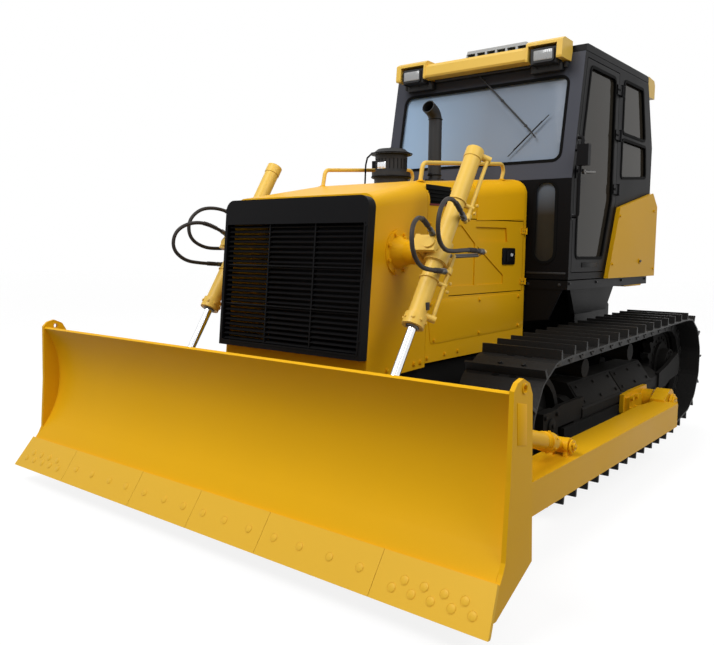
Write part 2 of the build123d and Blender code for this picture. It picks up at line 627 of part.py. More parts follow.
def make_hood_door(side):
    """Engine side door with pressed recesses, a latch and two hinge knuckles."""
    door = side_plate(DOOR_OUTLINE, HOOD_HALF - 24, HOOD_HALF)
    face = HOOD_HALF - 7
    # two recesses with a rib between them, their upper rear edges along one slanting line
    door -= side_plate([(182, 1272), (545, 1272), (545, 1524), (182, 1332)], face, HOOD_HALF + 1)
    door -= side_plate([(577, 1272), (872, 1272), (872, 1652), (748, 1652), (577, 1542)], face, HOOD_HALF + 1)
    door -= side_plate([(130, 1560), (148, 1656), (572, 1650), (540, 1560)], HOOD_HALF - 12, HOOD_HALF + 1)
    door += block(22, 108, HOOD_HALF - 4, HOOD_HALF + 6, 1412, 1512)
    for z in (1280, 1640):
        door += Pos(HOOD_HINGE[0], HOOD_HINGE[1], z) * Cylinder(9, 46)
        door += block(HOOD_HINGE[0], -80, HOOD_HALF + 2, HOOD_HALF + 8, z - 20, z + 20)
        door += block(-108, -80, HOOD_HALF - 2, HOOD_HALF + 4, z - 20, z + 20)
    return sided(door, side)


def make_precleaner():
    """Air pre-cleaner: base band, slotted bowl and cap."""
    base = Vector(590, -200, 1930)
    parts = [(0, 62, 118), (60, 100, 134), (98, 215, 108), (190, 222, 112)]
    body = None
    for low, high, radius in parts:
        disc = Pos(base.X, base.Y, base.Z + low) * Cylinder(radius, high - low, align=(MID, MID, LOW))
        body = disc if body is None else body + disc
    cap = Pos(base.X, base.Y, base.Z + 220) * Cone(142, 96, 38, align=(MID, MID, LOW))
    return body + cap


EXHAUST = (285, -40)


def make_exhaust():
    """Exhaust stack with a flange and an outlet turned forward."""
    x, y = EXHAUST
    points = [(x, y, 1960), (x, y, 2455), (x + 98, y, 2497)]
    path = FilletPolyline(*points, radius=78)
    outer = sweep(Plane(origin=path @ 0, z_dir=path % 0) * Circle(47), path=path)
    inner = sweep(Plane(origin=path @ 0, z_dir=path % 0) * Circle(42), path=path)
    return outer - inner + (Pos(x, y, 1962) * Cylinder(72, 34, align=(MID, MID, LOW))
                            - Pos(x, y, 1960) * Cylinder(44, 40, align=(MID, MID, LOW)))


def make_handrails():
    """Rails along both shoulders of the hood."""
    rails = []
    for side in (-1, 1):
        y = side * 385
        points = [(1105, y, 1880), (1075, y, 2015), (25, y, 2108), (88, y, 1975)]
        rails.append(bent_bar(points, 45, 13))
    return rails


# ---- engine, radiator and main frame ------------------------------------------------------
BALANCE_X = (240, 340)              # equaliser bar, rear and front faces
PIVOT_SHAFT = (-1120, 490, 62)      # x, z, radius
FRAME_SIDE = 800                    # inner face of the track frames' beams


def make_main_frame():
    """Two long members with cross members, nose, engine guard and rear case sides."""
    member = [(-1310, 560), (1700, 560), (1770, 640), (1770, 796), (-1310, 796)]
    frame = side_plate(member, 330, 420) + side_plate(member, -420, -330)
    for x0, x1, z0, z1 in ((1660, 1770, 560, 796), (1180, 1260, 560, 700), (-1310, -1180, 560, 796),
                           (-260, -160, 560, 720)):
        frame += block(x0, x1, -420, 420, z0, z1)
    guard = [(-1560, 404), (1180, 404), (1700, 545), (1770, 640), (1745, 655), (1690, 566), (1175, 424),
             (-1560, 424)]
    tail = [(-1560, 404), (-1560, 424), (-1840, 424), (-1990, 466), (-2000, 448), (-1850, 404)]
    frame += side_plate(guard, -420, 420) + side_plate(tail, -385, 385)
    for side in (-1, 1):
        frame += block(-1560, 1180, *sorted((side * 400, side * 420)), 404, 580)
    frame -= block(BALANCE_X[0] - 12, BALANCE_X[1] + 12, -450, 450, 425, 559)
    return frame - axle(*PIVOT_SHAFT[:2], -450, 450, PIVOT_SHAFT[2] + 4)


def make_rear_case():
    """Steering case and final drive housings."""
    x, z, _ = SPROCKET
    case = side_plate([(-2120, 520), (-2020, 470), (-1310, 470), (-1310, 1180), (-1900, 1180), (-2120, 1010)],
                      -395, 395)
    for side in (-1, 1):
        case += axle(x, z, *sorted((side * 390, side * 700)), 270)
        case += axle(x, z, *sorted((side * 690, side * (TRACK_Y - 102))), 225)
        case += axle(x, z, *sorted((side * 830, side * (TRACK_Y - 42))), 150)
    return case


def make_cross_shafts():
    """Equaliser bar under the engine and the track frames' pivot shaft."""
    end = TRACK_Y - 150             # inner face of the idler fork
    bar_shape = front_plate([(-end, 555), (-end, 470), (-300, 430), (300, 430), (end, 470), (end, 555)],
                            *BALANCE_X)
    return [bar_shape, axle(*PIVOT_SHAFT[:2], -FRAME_SIDE, FRAME_SIDE, PIVOT_SHAFT[2])]


DRAWBAR_HOLE = 26


def make_drawbar():
    """Rear drawbar: a clevis with its pin hole."""
    plate = [(-2130, -150), (-2130, 150), (-2470, 110), (-2570, 60), (-2570, -60), (-2470, -110)]
    bar_shape = None
    for z0, z1 in ((500, 540), (620, 660)):
        jaw = Pos(0, 0, z0) * extrude(Polygon(*plate, align=None), amount=z1 - z0, dir=(0, 0, 1))
        bar_shape = jaw if bar_shape is None else bar_shape + jaw
    bar_shape += block(-2360, -2124, -105, 105, 500, 660)
    bar_shape += block(-2160, -2122, -260, 260, 480, 760)
    return bar_shape - Pos(-2490, 0, 480) * Cylinder(DRAWBAR_HOLE, 220, align=(MID, MID, LOW))


def make_rear_tank():
    """Fuel tank behind the cab, on the rear case."""
    outline = rounded([(-1900, 1190), (-1900, 1760), (-2330, 1720), (-2400, 1640), (-2400, 1190)], 40)
    tank = side_plate(outline, -600, 600)
    return tank + Pos(-2150, 380, 1700) * Cylinder(58, 90, align=(MID, MID, LOW))


# ---- platform and cab ---------------------------------------------------------------------
def make_platform():
    """Deck under the cab with its fenders and front skirts."""
    deck = block(-1895, -160, -800, 800, 1228, 1292)
    for side in (-1, 1):
        skirt = [(-160, 1235), (-160, 985), (-250, 985), (-520, 1235)]
        deck += side_plate(skirt, *sorted((side * 455, side * 475)))
        deck += front_plate([(side * 455, 1235), (side * 760, 1235), (side * 660, 1010), (side * 455, 985)],
                            -185, -165)
        deck += side_plate([(-700, 1235), (-820, 1010), (-1500, 1010), (-1700, 1235)],
                           *sorted((side * 560, side * 590)))
        deck += block(-1250, -900, *sorted((side * 440, side * 570)), 1000, 1235)
    return deck


# Outline of the cab from the side: x, z
CAB_OUTLINE = [(-165, CAB_FLOOR), (-165, 2012), (-330, 2900), (-1705, 2918), (-1880, 2400), (-1880, CAB_FLOOR)]
CAB_INSIDE = [(-205, CAB_FLOOR + 30), (-205, 2010), (-366, 2875), (-1680, 2892), (-1840, 2394),
              (-1840, CAB_FLOOR + 30)]
CAB_DOOR = [(-212, 1352), (-212, 2010), (-372, 2858), (-1010, 2866), (-1040, 1905), (-828, 1352)]
CAB_DOOR_GLASS = [(-275, 1450), (-275, 2005), (-437, 2815), (-940, 2821), (-950, 1900), (-790, 1450)]
CAB_HINGE = (-1050, CAB_HALF + 13)


def grown(outline, gap):
    """Outline grown on every side."""
    face = Polygon(*outline, align=None)
    return offset(face, amount=gap, kind=Kind.INTERSECTION)


SIDE_WINDOW_TOP = [(-1130, 2430), (-1130, 2840), (-1580, 2846), (-1690, 2430)]
SIDE_WINDOW_LOW = [(-1130, 2080), (-1130, 2390), (-1700, 2390), (-1740, 2130)]
SCREEN_LEAN = degrees(atan2(165, 888))
SCREEN_PLANE = Plane(origin=(-165, 0, 2012), x_dir=(0, 1, 0),
                     z_dir=(cos(radians(SCREEN_LEAN)), 0, sin(radians(SCREEN_LEAN))))


def screen_face(grow):
    """Windscreen outline on the leaning front."""
    return Pos(0, 432) * RectangleRounded(1400 + 2 * grow, 615 + 2 * grow, 62 + grow)


def oval_face(side, grow):
    """Tall rounded window beside the hood."""
    return Pos(side * 612, 1705) * RectangleRounded(168 + 2 * grow, 580 + 2 * grow, 78 + grow)


def rear_face(grow):
    """Rear window."""
    return Pos(0, 2180) * RectangleRounded(1260 + 2 * grow, 420 + 2 * grow, 60 + grow)


def make_cab_shell():
    """Hollow cab with its floor, window openings and door openings."""
    cab = side_plate(CAB_OUTLINE, -CAB_HALF, CAB_HALF) - side_plate(CAB_INSIDE, 40 - CAB_HALF, CAB_HALF - 40)
    for side in (-1, 1):
        wall = sorted((side * (CAB_HALF - 60), side * (CAB_HALF + 20)))
        cab -= side_plate(grown(CAB_DOOR, 6), *wall)
        cab -= side_plate(rounded(SIDE_WINDOW_TOP, 35), *wall)
        cab -= side_plate(rounded(SIDE_WINDOW_LOW, 35), *wall)
        cab -= extrude(front_plane(-230) * oval_face(side, 0), amount=90)
    cab -= SCREEN_PLANE * Pos(0, 0, -80) * extrude(screen_face(0), amount=120)
    cab -= extrude(front_plane(-1900) * rear_face(0), amount=90)
    return cab


def make_cab_glass():
    """Fixed panes, set in their openings."""
    panes = [SCREEN_PLANE * Pos(0, 0, -26) * extrude(screen_face(-1), amount=8)]
    panes.append(extrude(front_plane(-1868) * rear_face(-1), amount=8))
    for side in (-1, 1):
        wall = sorted((side * (CAB_HALF - 24), side * (CAB_HALF - 16)))
        for outline in (SIDE_WINDOW_TOP, SIDE_WINDOW_LOW):
            panes.append(side_plate(offset(rounded(outline, 35), amount=-1), *wall))
        panes.append(extrude(front_plane(-190) * oval_face(side, -1), amount=8))
    return panes


def make_cab_door(side):
    """Door frame with its window opening, hinges and handle."""
    door = side_plate(CAB_DOOR, CAB_HALF - 38, CAB_HALF)
    door -= side_plate(rounded(CAB_DOOR_GLASS, 45), CAB_HALF - 60, CAB_HALF + 10)
    for z in (1985, 2400, 2740):
        door += Pos(CAB_HINGE[0], CAB_HINGE[1], z) * Cylinder(11, 80)
        door += block(CAB_HINGE[0], -950, CAB_HALF + 2, CAB_HALF + 14, z - 36, z + 36)
        door += block(-1005, -950, CAB_HALF - 2, CAB_HALF + 6, z - 36, z + 36)
    door += axle(-245, 2062, CAB_HALF - 2, CAB_HALF + 42, 12)
    door += block(-385, -235, CAB_HALF + 34, CAB_HALF + 48, 2052, 2072)
    return sided(door, side)


def make_door_glass(side):
    """Pane of a cab door."""
    pane = side_plate(offset(rounded(CAB_DOOR_GLASS, 45), amount=-1), CAB_HALF - 24, CAB_HALF - 16)
    return sided(pane, side)


def make_roof():
    """Roof panel, slightly domed by its rounded edges."""
    roof = side_plate([(-334, 2904), (-344, 2950), (-390, 2962), (-1640, 2978), (-1700, 2966), (-1706, 2922)],
                      -CAB_HALF, CAB_HALF)
    long_edges = roof.edges().filter_by(lambda e: abs(e.center().Z) > 2960 and e.length > 1000
                                        and abs(abs(e.center().Y) - CAB_HALF) < 1)
    return fillet(long_edges, 14)


LAMP_Y, LAMP_HALF = 550, 88
LAMP_LOW, LAMP_HIGH = 2818, 2922
VISOR_IN, VISOR_OUT = 425, 700      # the raised end blocks that hold the lamps


def make_visor():
    """Yellow visor with raised ends round the lamps, and the lamp housing at the rear."""
    middle = [(-318, 2842), (-158, 2842), (-150, 2856), (-158, 2922), (-190, 2948), (-330, 2952), (-330, 2903)]
    raised = [(-312, 2836), (-150, 2836), (-146, 2850), (-156, 2960), (-190, 2980), (-330, 2976), (-330, 2903)]
    visor = side_plate(middle, -VISOR_IN, VISOR_IN)
    for side in (-1, 1):
        visor += side_plate(raised, *sorted((side * VISOR_IN, side * VISOR_OUT)))
        recess = sorted((side * (LAMP_Y - LAMP_HALF - 20), side * (LAMP_Y + LAMP_HALF + 20)))
        visor -= block(-290, -100, *recess, LAMP_LOW - 30, LAMP_HIGH + 20)
    rear = side_plate([(-1744, 2815), (-1895, 2815), (-1895, 2935), (-1870, 2966), (-1730, 2978), (-1710, 2976),
                       (-1710, 2925)], 5 - CAB_HALF, CAB_HALF - 5)
    return [visor, rear]


def make_lamps():
    """Front work lamps with their housings, and rear lamps."""
    lamps = []
    for side in (-1, 1):
        y0, y1 = sorted((side * (LAMP_Y - LAMP_HALF), side * (LAMP_Y + LAMP_HALF)))
        lamps.append(block(-250, -172, y0, y1, LAMP_LOW, LAMP_HIGH)
                     + block(-180, -164, y0 + 12, y1 - 12, LAMP_LOW + 12, LAMP_HIGH - 12))
        lamps.append(block(-1925, -1897, *sorted((side * 520, side * 640)), 2840, 2920))
    return lamps


VENT_FRONT, VENT_HALF = -500, 295
VENT_CELLS, CELL_PITCH, CELL_WIDE = 6, 88, 70


def make_roof_vent():
    """Ventilation box on the roof: leaning sides and a row of openings in its front."""
    vent = side_plate([(VENT_FRONT, 2963.5), (VENT_FRONT - 4, 3085), (-1100, 3085), (-1110, 2971.3)],
                      -VENT_HALF, VENT_HALF)
    beside = front_plate([(VENT_HALF, 2955), (VENT_HALF - 42, 3090), (400, 3090), (400, 2955)], -1200, -400)
    vent -= [beside, mirrored(beside)]
    for k in range(VENT_CELLS):
        y = CELL_PITCH * (k - (VENT_CELLS - 1) / 2)
        vent -= block(VENT_FRONT - 60, VENT_FRONT + 20, y - CELL_WIDE / 2, y + CELL_WIDE / 2, 3022, 3062)
    return vent


def make_seat():
    """Operator's seat: base, cushion, back and arm rests."""
    seat = block(-1240, -800, -230, 230, 1332, 1560)
    seat += side_plate(rounded([(-1300, 1555), (-720, 1555), (-700, 1680), (-1300, 1650)], 30), -270, 270)
    seat += side_plate(rounded([(-1280, 1640), (-1180, 1640), (-1290, 2230), (-1400, 2230)], 30), -250, 250)
    for side in (-1, 1):
        seat += block(-1240, -800, *sorted((side * 300, side * 380)), 1332, 1830)
    return seat


def make_console():
    """Instrument console with its levers."""
    console = side_plate([(-215, 1332), (-420, 1332), (-470, 1700), (-400, 1880), (-215, 1900)], -330, 330)
    for y, lean in ((-150, 0), (-60, 0), (60, 0), (150, 0)):
        console += bar((-430, y, 1780), (-520, y, 1990), 10)
    return console


def make_cab_fittings():
    """Grab bars on the front pillars and the mirrors on their stalks."""
    pieces = []
    out = CAB_HALF + 42
    cab = side_plate(CAB_OUTLINE, -CAB_HALF, CAB_HALF)
    for side in (-1, 1):
        grab = bent_bar([(-188, CAB_HALF, 1740), (-188, out, 1740), (-188, out, 2030), (-240, out, 2290),
                         (-240, CAB_HALF, 2290)], 22, 12)
        mirror_stalk = bar((-222, CAB_HALF - 5, 2200), (-160, CAB_HALF + 60, 2200), 9)
        head = block(-178, -132, CAB_HALF + 42, CAB_HALF + 122, 2085, 2228)
        pieces += [sided(grab, side) - cab, sided(mirror_stalk + head, side) - cab]
    return pieces


def make_side_box(side):
    """Yellow side cover beside the seat, over the fender."""
    outline = [(-845, 1296), (-1060, 1850), (-1860, 2010), (-1990, 1900), (-1990, 1296)]
    box = side_plate(outline, CAB_HALF + 3, CAB_HALF + 36)
    return sided(box, side)


# ---- all pieces ---------------------------------------------------------------------------
def main():
    for side, name in ((LEFT, "left"), (RIGHT, "right")):
        save(f"track_{name}", make_track(side))
        save(f"track_frame_{name}", sided(make_track_frame(), side))
        save(f"push_arm_{name}", make_push_arm(side))
        save(f"lift_cylinder_{name}", make_lift_cylinder(side))
        save(f"lift_rod_{name}", make_lift_rod(side))
        save(f"hose_lower_{name}", make_hose("hose_lower", HOSE_LOWER, side))
        save(f"hose_upper_{name}", make_hose("hose_upper", HOSE_UPPER, side))
        save(f"hood_door_{name}", make_hood_door(side))
        save(f"cab_door_{name}", make_cab_door(side))
        save(f"door_glass_{name}", make_door_glass(side))
        save(f"side_box_{name}", make_side_box(side))
    save("front_idlers", both_sides(make_idler()))
    save("sprockets", both_sides(make_sprocket()))
    rollers = make_rollers()
    save("track_rollers", rollers + [mirrored(r) for r in rollers])
    save("trunnions", both_sides(make_trunnion()))
    save("moldboard", make_moldboard())
    save("cutting_edges", make_cutting_edges())
    save("pitch_brace", make_brace())
    save("tilt_cylinder", make_tilt_cylinder())
    save("main_frame", make_main_frame())
    save("rear_case", make_rear_case())
    save("cross_shafts", make_cross_shafts())
    save("drawbar", make_drawbar())
    save("fuel_tank", make_rear_tank())
    save("engine_block", block(60, 1120, -300, 300, 640, 1560))
    save("radiator", block(1420, 1540, -440, 440, 830, 1700))
    save("radiator_guard", make_guard())
    save("grille", make_grille())
    save("hood", make_hood())
    save("precleaner", make_precleaner())
    save("exhaust_stack", make_exhaust())
    save("handrails", make_handrails())
    save("platform", make_platform())
    save("cab_shell", make_cab_shell())
    save("cab_glass", make_cab_glass())
    save("cab_roof", make_roof())
    save("cab_visor", make_visor())
    save("work_lamps", make_lamps())
    save("roof_vent", make_roof_vent())
    save("operator_seat", make_seat())
    save("console", make_console())
    save("cab_fittings", make_cab_fittings())


main()
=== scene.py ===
"""Bulldozer: finishes, fittings and studio, built round the fixed frame."""

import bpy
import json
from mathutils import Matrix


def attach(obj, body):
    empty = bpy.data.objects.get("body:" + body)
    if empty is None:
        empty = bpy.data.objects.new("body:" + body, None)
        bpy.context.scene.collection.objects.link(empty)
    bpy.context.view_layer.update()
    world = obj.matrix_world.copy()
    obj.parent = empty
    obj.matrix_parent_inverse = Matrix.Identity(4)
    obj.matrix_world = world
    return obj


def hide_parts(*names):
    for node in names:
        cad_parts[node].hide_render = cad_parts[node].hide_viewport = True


bl_info = {
    "name": "Bulldozer dressing",
    "version": (1, 0, 0),
    "blender": (4, 5, 0),
    "location": "View3D > Sidebar > Bulldozer",
    "description": "Builds the fittings, hoses, paint and studio of a crawler bulldozer",
    "category": "Object",
}

import json
import math

import bmesh
import bpy
from bpy.props import FloatProperty, FloatVectorProperty, PointerProperty
from mathutils import Euler, Matrix, Vector

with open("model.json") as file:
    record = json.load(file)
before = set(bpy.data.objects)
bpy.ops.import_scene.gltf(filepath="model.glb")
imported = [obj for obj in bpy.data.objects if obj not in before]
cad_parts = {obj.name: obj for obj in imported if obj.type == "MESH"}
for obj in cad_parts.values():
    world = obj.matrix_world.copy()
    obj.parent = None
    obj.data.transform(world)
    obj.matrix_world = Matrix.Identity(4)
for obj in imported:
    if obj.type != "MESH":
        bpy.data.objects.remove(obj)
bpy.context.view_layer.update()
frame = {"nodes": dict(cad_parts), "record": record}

SIDES = (("left", 1), ("right", -1))
AHEAD, LEFT, UP = Vector((1, 0, 0)), Vector((0, 1, 0)), Vector((0, 0, 1))


# ---- settings -----------------------------------------------------------------------------
def paint_colour(name, description, colour):
    """Setting for a colour."""
    return FloatVectorProperty(name=name, description=description, subtype="COLOR", size=3, min=0, max=1,
                               default=colour)


def length(name, description, metres):
    """Setting for a length."""
    return FloatProperty(name=name, description=description, default=metres, min=0, unit="LENGTH")


class DozerPaint(bpy.types.PropertyGroup):
    """Colours of the finishes."""
    yellow: paint_colour("Yellow", "Machine paint of hood, blade and arms", (0.80, 0.424, 0.007))
    # on the visor this paler yellow is a painted sky reflection; on the lift cylinders it is their own paint
    pale_yellow: paint_colour("Pale yellow", "Paint of lift cylinders, visor and rails", (0.79, 0.51, 0.09))
    edge_yellow: paint_colour("Edge yellow", "Paint of the cutting edges", (0.80, 0.47, 0.040))
    bright_yellow: paint_colour("Bright yellow", "Blank lids and sign plates", (0.90, 0.46, 0.004))
    red: paint_colour("Red", "Lip below the hood's air slots", (0.16, 0.012, 0.006))
    black: paint_colour("Black", "Paint of cab, platform and grille", (0.0050, 0.0050, 0.0058))
    # painted reflection: a blue-grey that stands for the sky caught in the glossy black front frame of the
    # cab
    front_frame_reflection: paint_colour("Cab front", "Glossy front frame of the cab", (0.060, 0.064, 0.080))
    # near-black that is painted shade behind slots, engine door gaps and shoe holes, and the own black of the
    # window seals
    shadow: paint_colour("Shadow black", "Window seals and the backs of slots", (0.002, 0.002, 0.002))
    track: paint_colour("Track steel", "Bare dark steel of tracks and wheels", (0.0085, 0.0083, 0.0082))
    engine: paint_colour("Engine grey", "Paint of the engine", (0.16, 0.165, 0.17))
    steel: paint_colour("Steel", "Hose ends and small fittings", (0.10, 0.095, 0.09))
    chrome: paint_colour("Chrome", "Plated rods", (0.85, 0.86, 0.88))
    rubber: paint_colour("Rubber", "Covers of the hoses", (0.017, 0.0125, 0.010))
    fabric: paint_colour("Seat cloth", "Cover of the seat", (0.03, 0.031, 0.034))
    plastic: paint_colour("Plastic", "Console, wiper, lamp boxes and engine stacks", (0.015, 0.015, 0.016))
    vent: paint_colour("Vent grey", "Ventilation box on the roof", (0.42, 0.43, 0.43))
    glass: paint_colour("Glass", "Tint of the windows in front and behind", (0.29, 0.35, 0.44))
    # painted reflection: this brown, with teal clouds mixed in, stands for the surroundings reflected in the
    # side panes
    side_glass_reflection: paint_colour("Side glass", "Tint of the windows at the sides", (0.040, 0.026, 0.017))
    lens: paint_colour("Lens", "Work lamps' lenses", (0.34, 0.35, 0.36))
    dust: paint_colour("Dust", "Dry dust on tracks and low parts", (0.11, 0.095, 0.075))
    floor: paint_colour("Floor", "Studio floor and backdrop", (0.15, 0.15, 0.15))


class DozerSizes(bpy.types.PropertyGroup):
    """Sizes of the fittings."""
    hose_thickness: length("Hose diameter", "Outside diameter of the lift hoses", 0.023)
    plow_bolt: length("Edge bolt", "Radius of the bolts in the cutting edges", 0.018)
    shoe_bolt: length("Shoe bolt", "Radius of the bolts in the track shoes", 0.015)
    cover_bolt: length("Cover bolt", "Radius of the bolts in the hood's covers", 0.011)
    seal: length("Window seal", "Width of the rubber over the edges of the panes", 0.0132)


class DozerView(bpy.types.PropertyGroup):
    """Camera."""
    place: FloatVectorProperty(name="Place", description="Camera's place", subtype="TRANSLATION", size=3,
                               default=(4.844, 2.885, 1.489))
    heading: FloatProperty(name="Heading", description="Direction of view from above", subtype="ANGLE",
                           default=math.radians(218.413))
    pitch: FloatProperty(name="Pitch", description="Tilt of the view, up is positive", subtype="ANGLE",
                         default=math.radians(-5.548))
    roll: FloatProperty(name="Roll", description="Turn about the line of sight", subtype="ANGLE",
                        default=math.radians(0.659))
    lens: FloatProperty(name="Lens", description="Focal length in millimetres", default=37.43, min=1)


# ---- shapes -------------------------------------------------------------------------------
def turned(axis):
    """Rotation that brings +Z onto an axis."""
    return UP.rotation_difference(Vector(axis).normalized()).to_matrix().to_4x4()


def faces_of(verts):
    """Faces that use any of the vertices, each once and in a fixed order."""
    return list(dict.fromkeys(face for vert in verts for face in vert.link_faces))


def edges_of(verts):
    """Edges that use any of the vertices, each once and in a fixed order."""
    return list(dict.fromkeys(edge for vert in verts for edge in vert.link_edges))


def round_edges(shape, verts, width, segments=2):
    """Bevels the sharp edges of what was just added."""
    sharp = [edge for edge in edges_of(verts) if len(edge.link_faces) == 2 and edge.calc_face_angle(0) > 0.5]
    bmesh.ops.bevel(shape, geom=sharp, offset=width, offset_type="OFFSET", affect="EDGES",
                    segments=segments, profile=0.5, material=-1, clamp_overlap=True)


def add_block(shape, low, high, rounding=0.0, turn=None):
    """Block between two corners, its edges rounded."""
    low, high = Vector(low), Vector(high)
    size = high - low
    place = Matrix.Translation((low + high) / 2) @ (turn or Matrix.Identity(4)) @ Matrix.Diagonal(
        (abs(size.x), abs(size.y), abs(size.z), 1))
    made = bmesh.ops.create_cube(shape, size=1, matrix=place)["verts"]
    if rounding:
        round_edges(shape, made, rounding)


def add_disc(shape, centre, axis, radius, depth, sides=24, rounding=0.0):
    """Round piece from a face's centre outwards along an axis."""
    place = Matrix.Translation(Vector(centre)) @ turned(axis) @ Matrix.Translation((0, 0, depth / 2))
    made = bmesh.ops.create_cone(shape, cap_ends=True, segments=sides, radius1=radius, radius2=radius,
                                 depth=depth, matrix=place)["verts"]
    if rounding:
        round_edges(shape, made, rounding)


def add_bolt(shape, centre, axis, radius):
    """Hexagon bolt head on its washer."""
    axis = Vector(axis).normalized()
    add_disc(shape, centre, axis, radius * 1.25, radius * 0.22, 16)
    add_disc(shape, Vector(centre) + axis * radius * 0.2, axis, radius, radius * 0.75, 6, radius * 0.12)


def add_plate(shape, corners, out, thickness, rounding=0.0):
    """Flat plate from its outline, thickened outwards."""
    ring = [shape.verts.new(corner) for corner in corners]
    face = shape.faces.new(ring)
    face.normal_update()
    if face.normal.dot(out) < 0:
        face.normal_flip()
    push = face.normal * thickness
    made = bmesh.ops.extrude_face_region(shape, geom=[face], use_keep_orig=True)["geom"]
    top = [item for item in made if isinstance(item, bmesh.types.BMVert)]
    bmesh.ops.translate(shape, verts=top, vec=push)
    bmesh.ops.recalc_face_normals(shape, faces=faces_of(ring + top))
    if rounding:
        round_edges(shape, ring + top, rounding)


def add_ring(shape, centre, axis, radius, thickness, steps=32, sides=8):
    """Round ring made by spinning a small circle."""
    turn = Matrix.Translation(Vector(centre)) @ turned(axis)
    upright = Matrix.Translation((radius, 0, 0)) @ Matrix.Rotation(math.pi / 2, 4, "X")
    made = bmesh.ops.create_circle(shape, segments=sides, radius=thickness, cap_ends=False,
                                   matrix=turn @ upright)["verts"]
    spun = bmesh.ops.spin(shape, geom=made + edges_of(made), cent=centre, axis=Vector(axis).normalized(),
                          angle=2 * math.pi, steps=steps, use_merge=True)
    verts = [item for item in spun["geom_last"] if isinstance(item, bmesh.types.BMVert)]
    bmesh.ops.recalc_face_normals(shape, faces=faces_of(verts))


def add_rod(shape, start, end, radius, sides=12):
    """Round bar between two points."""
    start, end = Vector(start), Vector(end)
    add_disc(shape, start, end - start, radius, (end - start).length, sides)


def rounded_loop(corners, radius, steps=5):
    """Flat outline whose corners are arcs."""
    corners = [Vector(corner) for corner in corners]
    loop = []
    for i, corner in enumerate(corners):
        before = (corners[i - 1] - corner).normalized()
        after = (corners[(i + 1) % len(corners)] - corner).normalized()
        half = before.angle(after) / 2
        centre = corner + (before + after).normalized() * (radius / math.sin(half))
        start = corner + before * (radius / math.tan(half)) - centre
        end = corner + after * (radius / math.tan(half)) - centre
        loop += [centre + start.slerp(end, k / steps).normalized() * radius for k in range(steps + 1)]
    return loop


def grown(corners, distance):
    """Outline whose sides have all moved outwards."""
    corners, moved = [Vector(corner) for corner in corners], []
    for i, corner in enumerate(corners):
        before = (corners[i - 1] - corner).normalized()
        after = (corners[(i + 1) % len(corners)] - corner).normalized()
        moved.append(corner - (before + after).normalized() * (distance / math.sin(before.angle(after) / 2)))
    return moved


def add_seal(shape, corners, radius, out, outer, inner, depth):
    """Rubber round an opening: from outer past its edge to inner over the pane, proud of the panel."""
    rings = []
    for distance, shift in ((outer, -0.6), (outer, 1.0), (-inner, 1.0), (-inner, -0.6)):
        loop = rounded_loop(grown(corners, distance), radius + distance)
        rings.append([shape.verts.new(point + out * depth * shift) for point in loop])
    made = [shape.faces.new((ring[i - 1], ring[i], following[i], following[i - 1]))
            for ring, following in zip(rings, rings[1:] + rings[:1]) for i in range(len(ring))]
    bmesh.ops.recalc_face_normals(shape, faces=made)


def circle(count, radius=1.0, phase=0.0):
    """Points spaced evenly round a circle, as pairs of offsets."""
    for k in range(count):
        angle = 2 * math.pi * (k + phase) / count
        yield radius * math.cos(angle), radius * math.sin(angle)


def to_side(sign, *shapes):
    """Moves what was made on the left to the right where the sign is negative."""
    for shape in shapes if sign < 0 else ():
        bmesh.ops.scale(shape, vec=(1, -1, 1), verts=shape.verts[:])
        bmesh.ops.reverse_faces(shape, faces=shape.faces[:])


def mirror_across(shape):
    """Copies everything to the other side of the machine."""
    copy = bmesh.ops.duplicate(shape, geom=shape.verts[:] + shape.edges[:] + shape.faces[:])["geom"]
    verts = [item for item in copy if isinstance(item, bmesh.types.BMVert)]
    bmesh.ops.scale(shape, vec=(1, -1, 1), verts=verts)
    bmesh.ops.reverse_faces(shape, faces=[item for item in copy if isinstance(item, bmesh.types.BMFace)])


def put(name, shape, body, finish, smooth=30):
    """Turns a bmesh into a piece with its body, finish and slot."""
    mesh = bpy.data.meshes.new(name)
    shape.to_mesh(mesh)
    shape.free()
    piece = bpy.data.objects.new(name, mesh)
    bpy.context.scene.collection.objects.link(piece)
    mesh.materials.append(finish_named(finish))
    mesh.shade_smooth()
    mesh.set_sharp_from_angle(angle=math.radians(smooth))
    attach(piece, body)
    return piece


# ---- shader groups ------------------------------------------------------------------------
def new_group(name, inputs, outputs):
    """Empty shader group with its sockets: (name, kind, default)."""
    group = bpy.data.node_groups.new(name, "ShaderNodeTree")
    for title, kind, default in inputs:
        socket = group.interface.new_socket(name=title, in_out="INPUT", socket_type=kind)
        if default is not None:
            socket.default_value = default
    for title, kind in outputs:
        group.interface.new_socket(name=title, in_out="OUTPUT", socket_type=kind)
    return group, group.nodes.new("NodeGroupInput"), group.nodes.new("NodeGroupOutput")


def math_node(tree, operation, first, second=None, clamp=False):
    """Math node on sockets or numbers; gives its output."""
    node = tree.nodes.new("ShaderNodeMath")
    node.operation, node.use_clamp = operation, clamp
    for socket, value in zip(node.inputs, (first, second)):
        if value is None:
            continue
        if isinstance(value, (int, float)):
            socket.default_value = value
        else:
            tree.links.new(value, socket)
    return node.outputs[0]


def mix_colour(tree, share, first, second):
    """Colour between the first and the second by a share; gives its output."""
    node = tree.nodes.new("ShaderNodeMix")
    node.data_type = "RGBA"
    for socket, value in ((node.inputs[0], share), (node.inputs[6], first), (node.inputs[7], second)):
        if isinstance(value, (int, float, tuple)):
            socket.default_value = value
        else:
            tree.links.new(value, socket)
    return node.outputs[2]


def own_axes(tree):
    """X, Y and Z on the object's own coordinates."""
    where = tree.nodes.new("ShaderNodeTexCoord")
    parts = tree.nodes.new("ShaderNodeSeparateXYZ")
    tree.links.new(where.outputs["Object"], parts.inputs[0])
    return parts.outputs


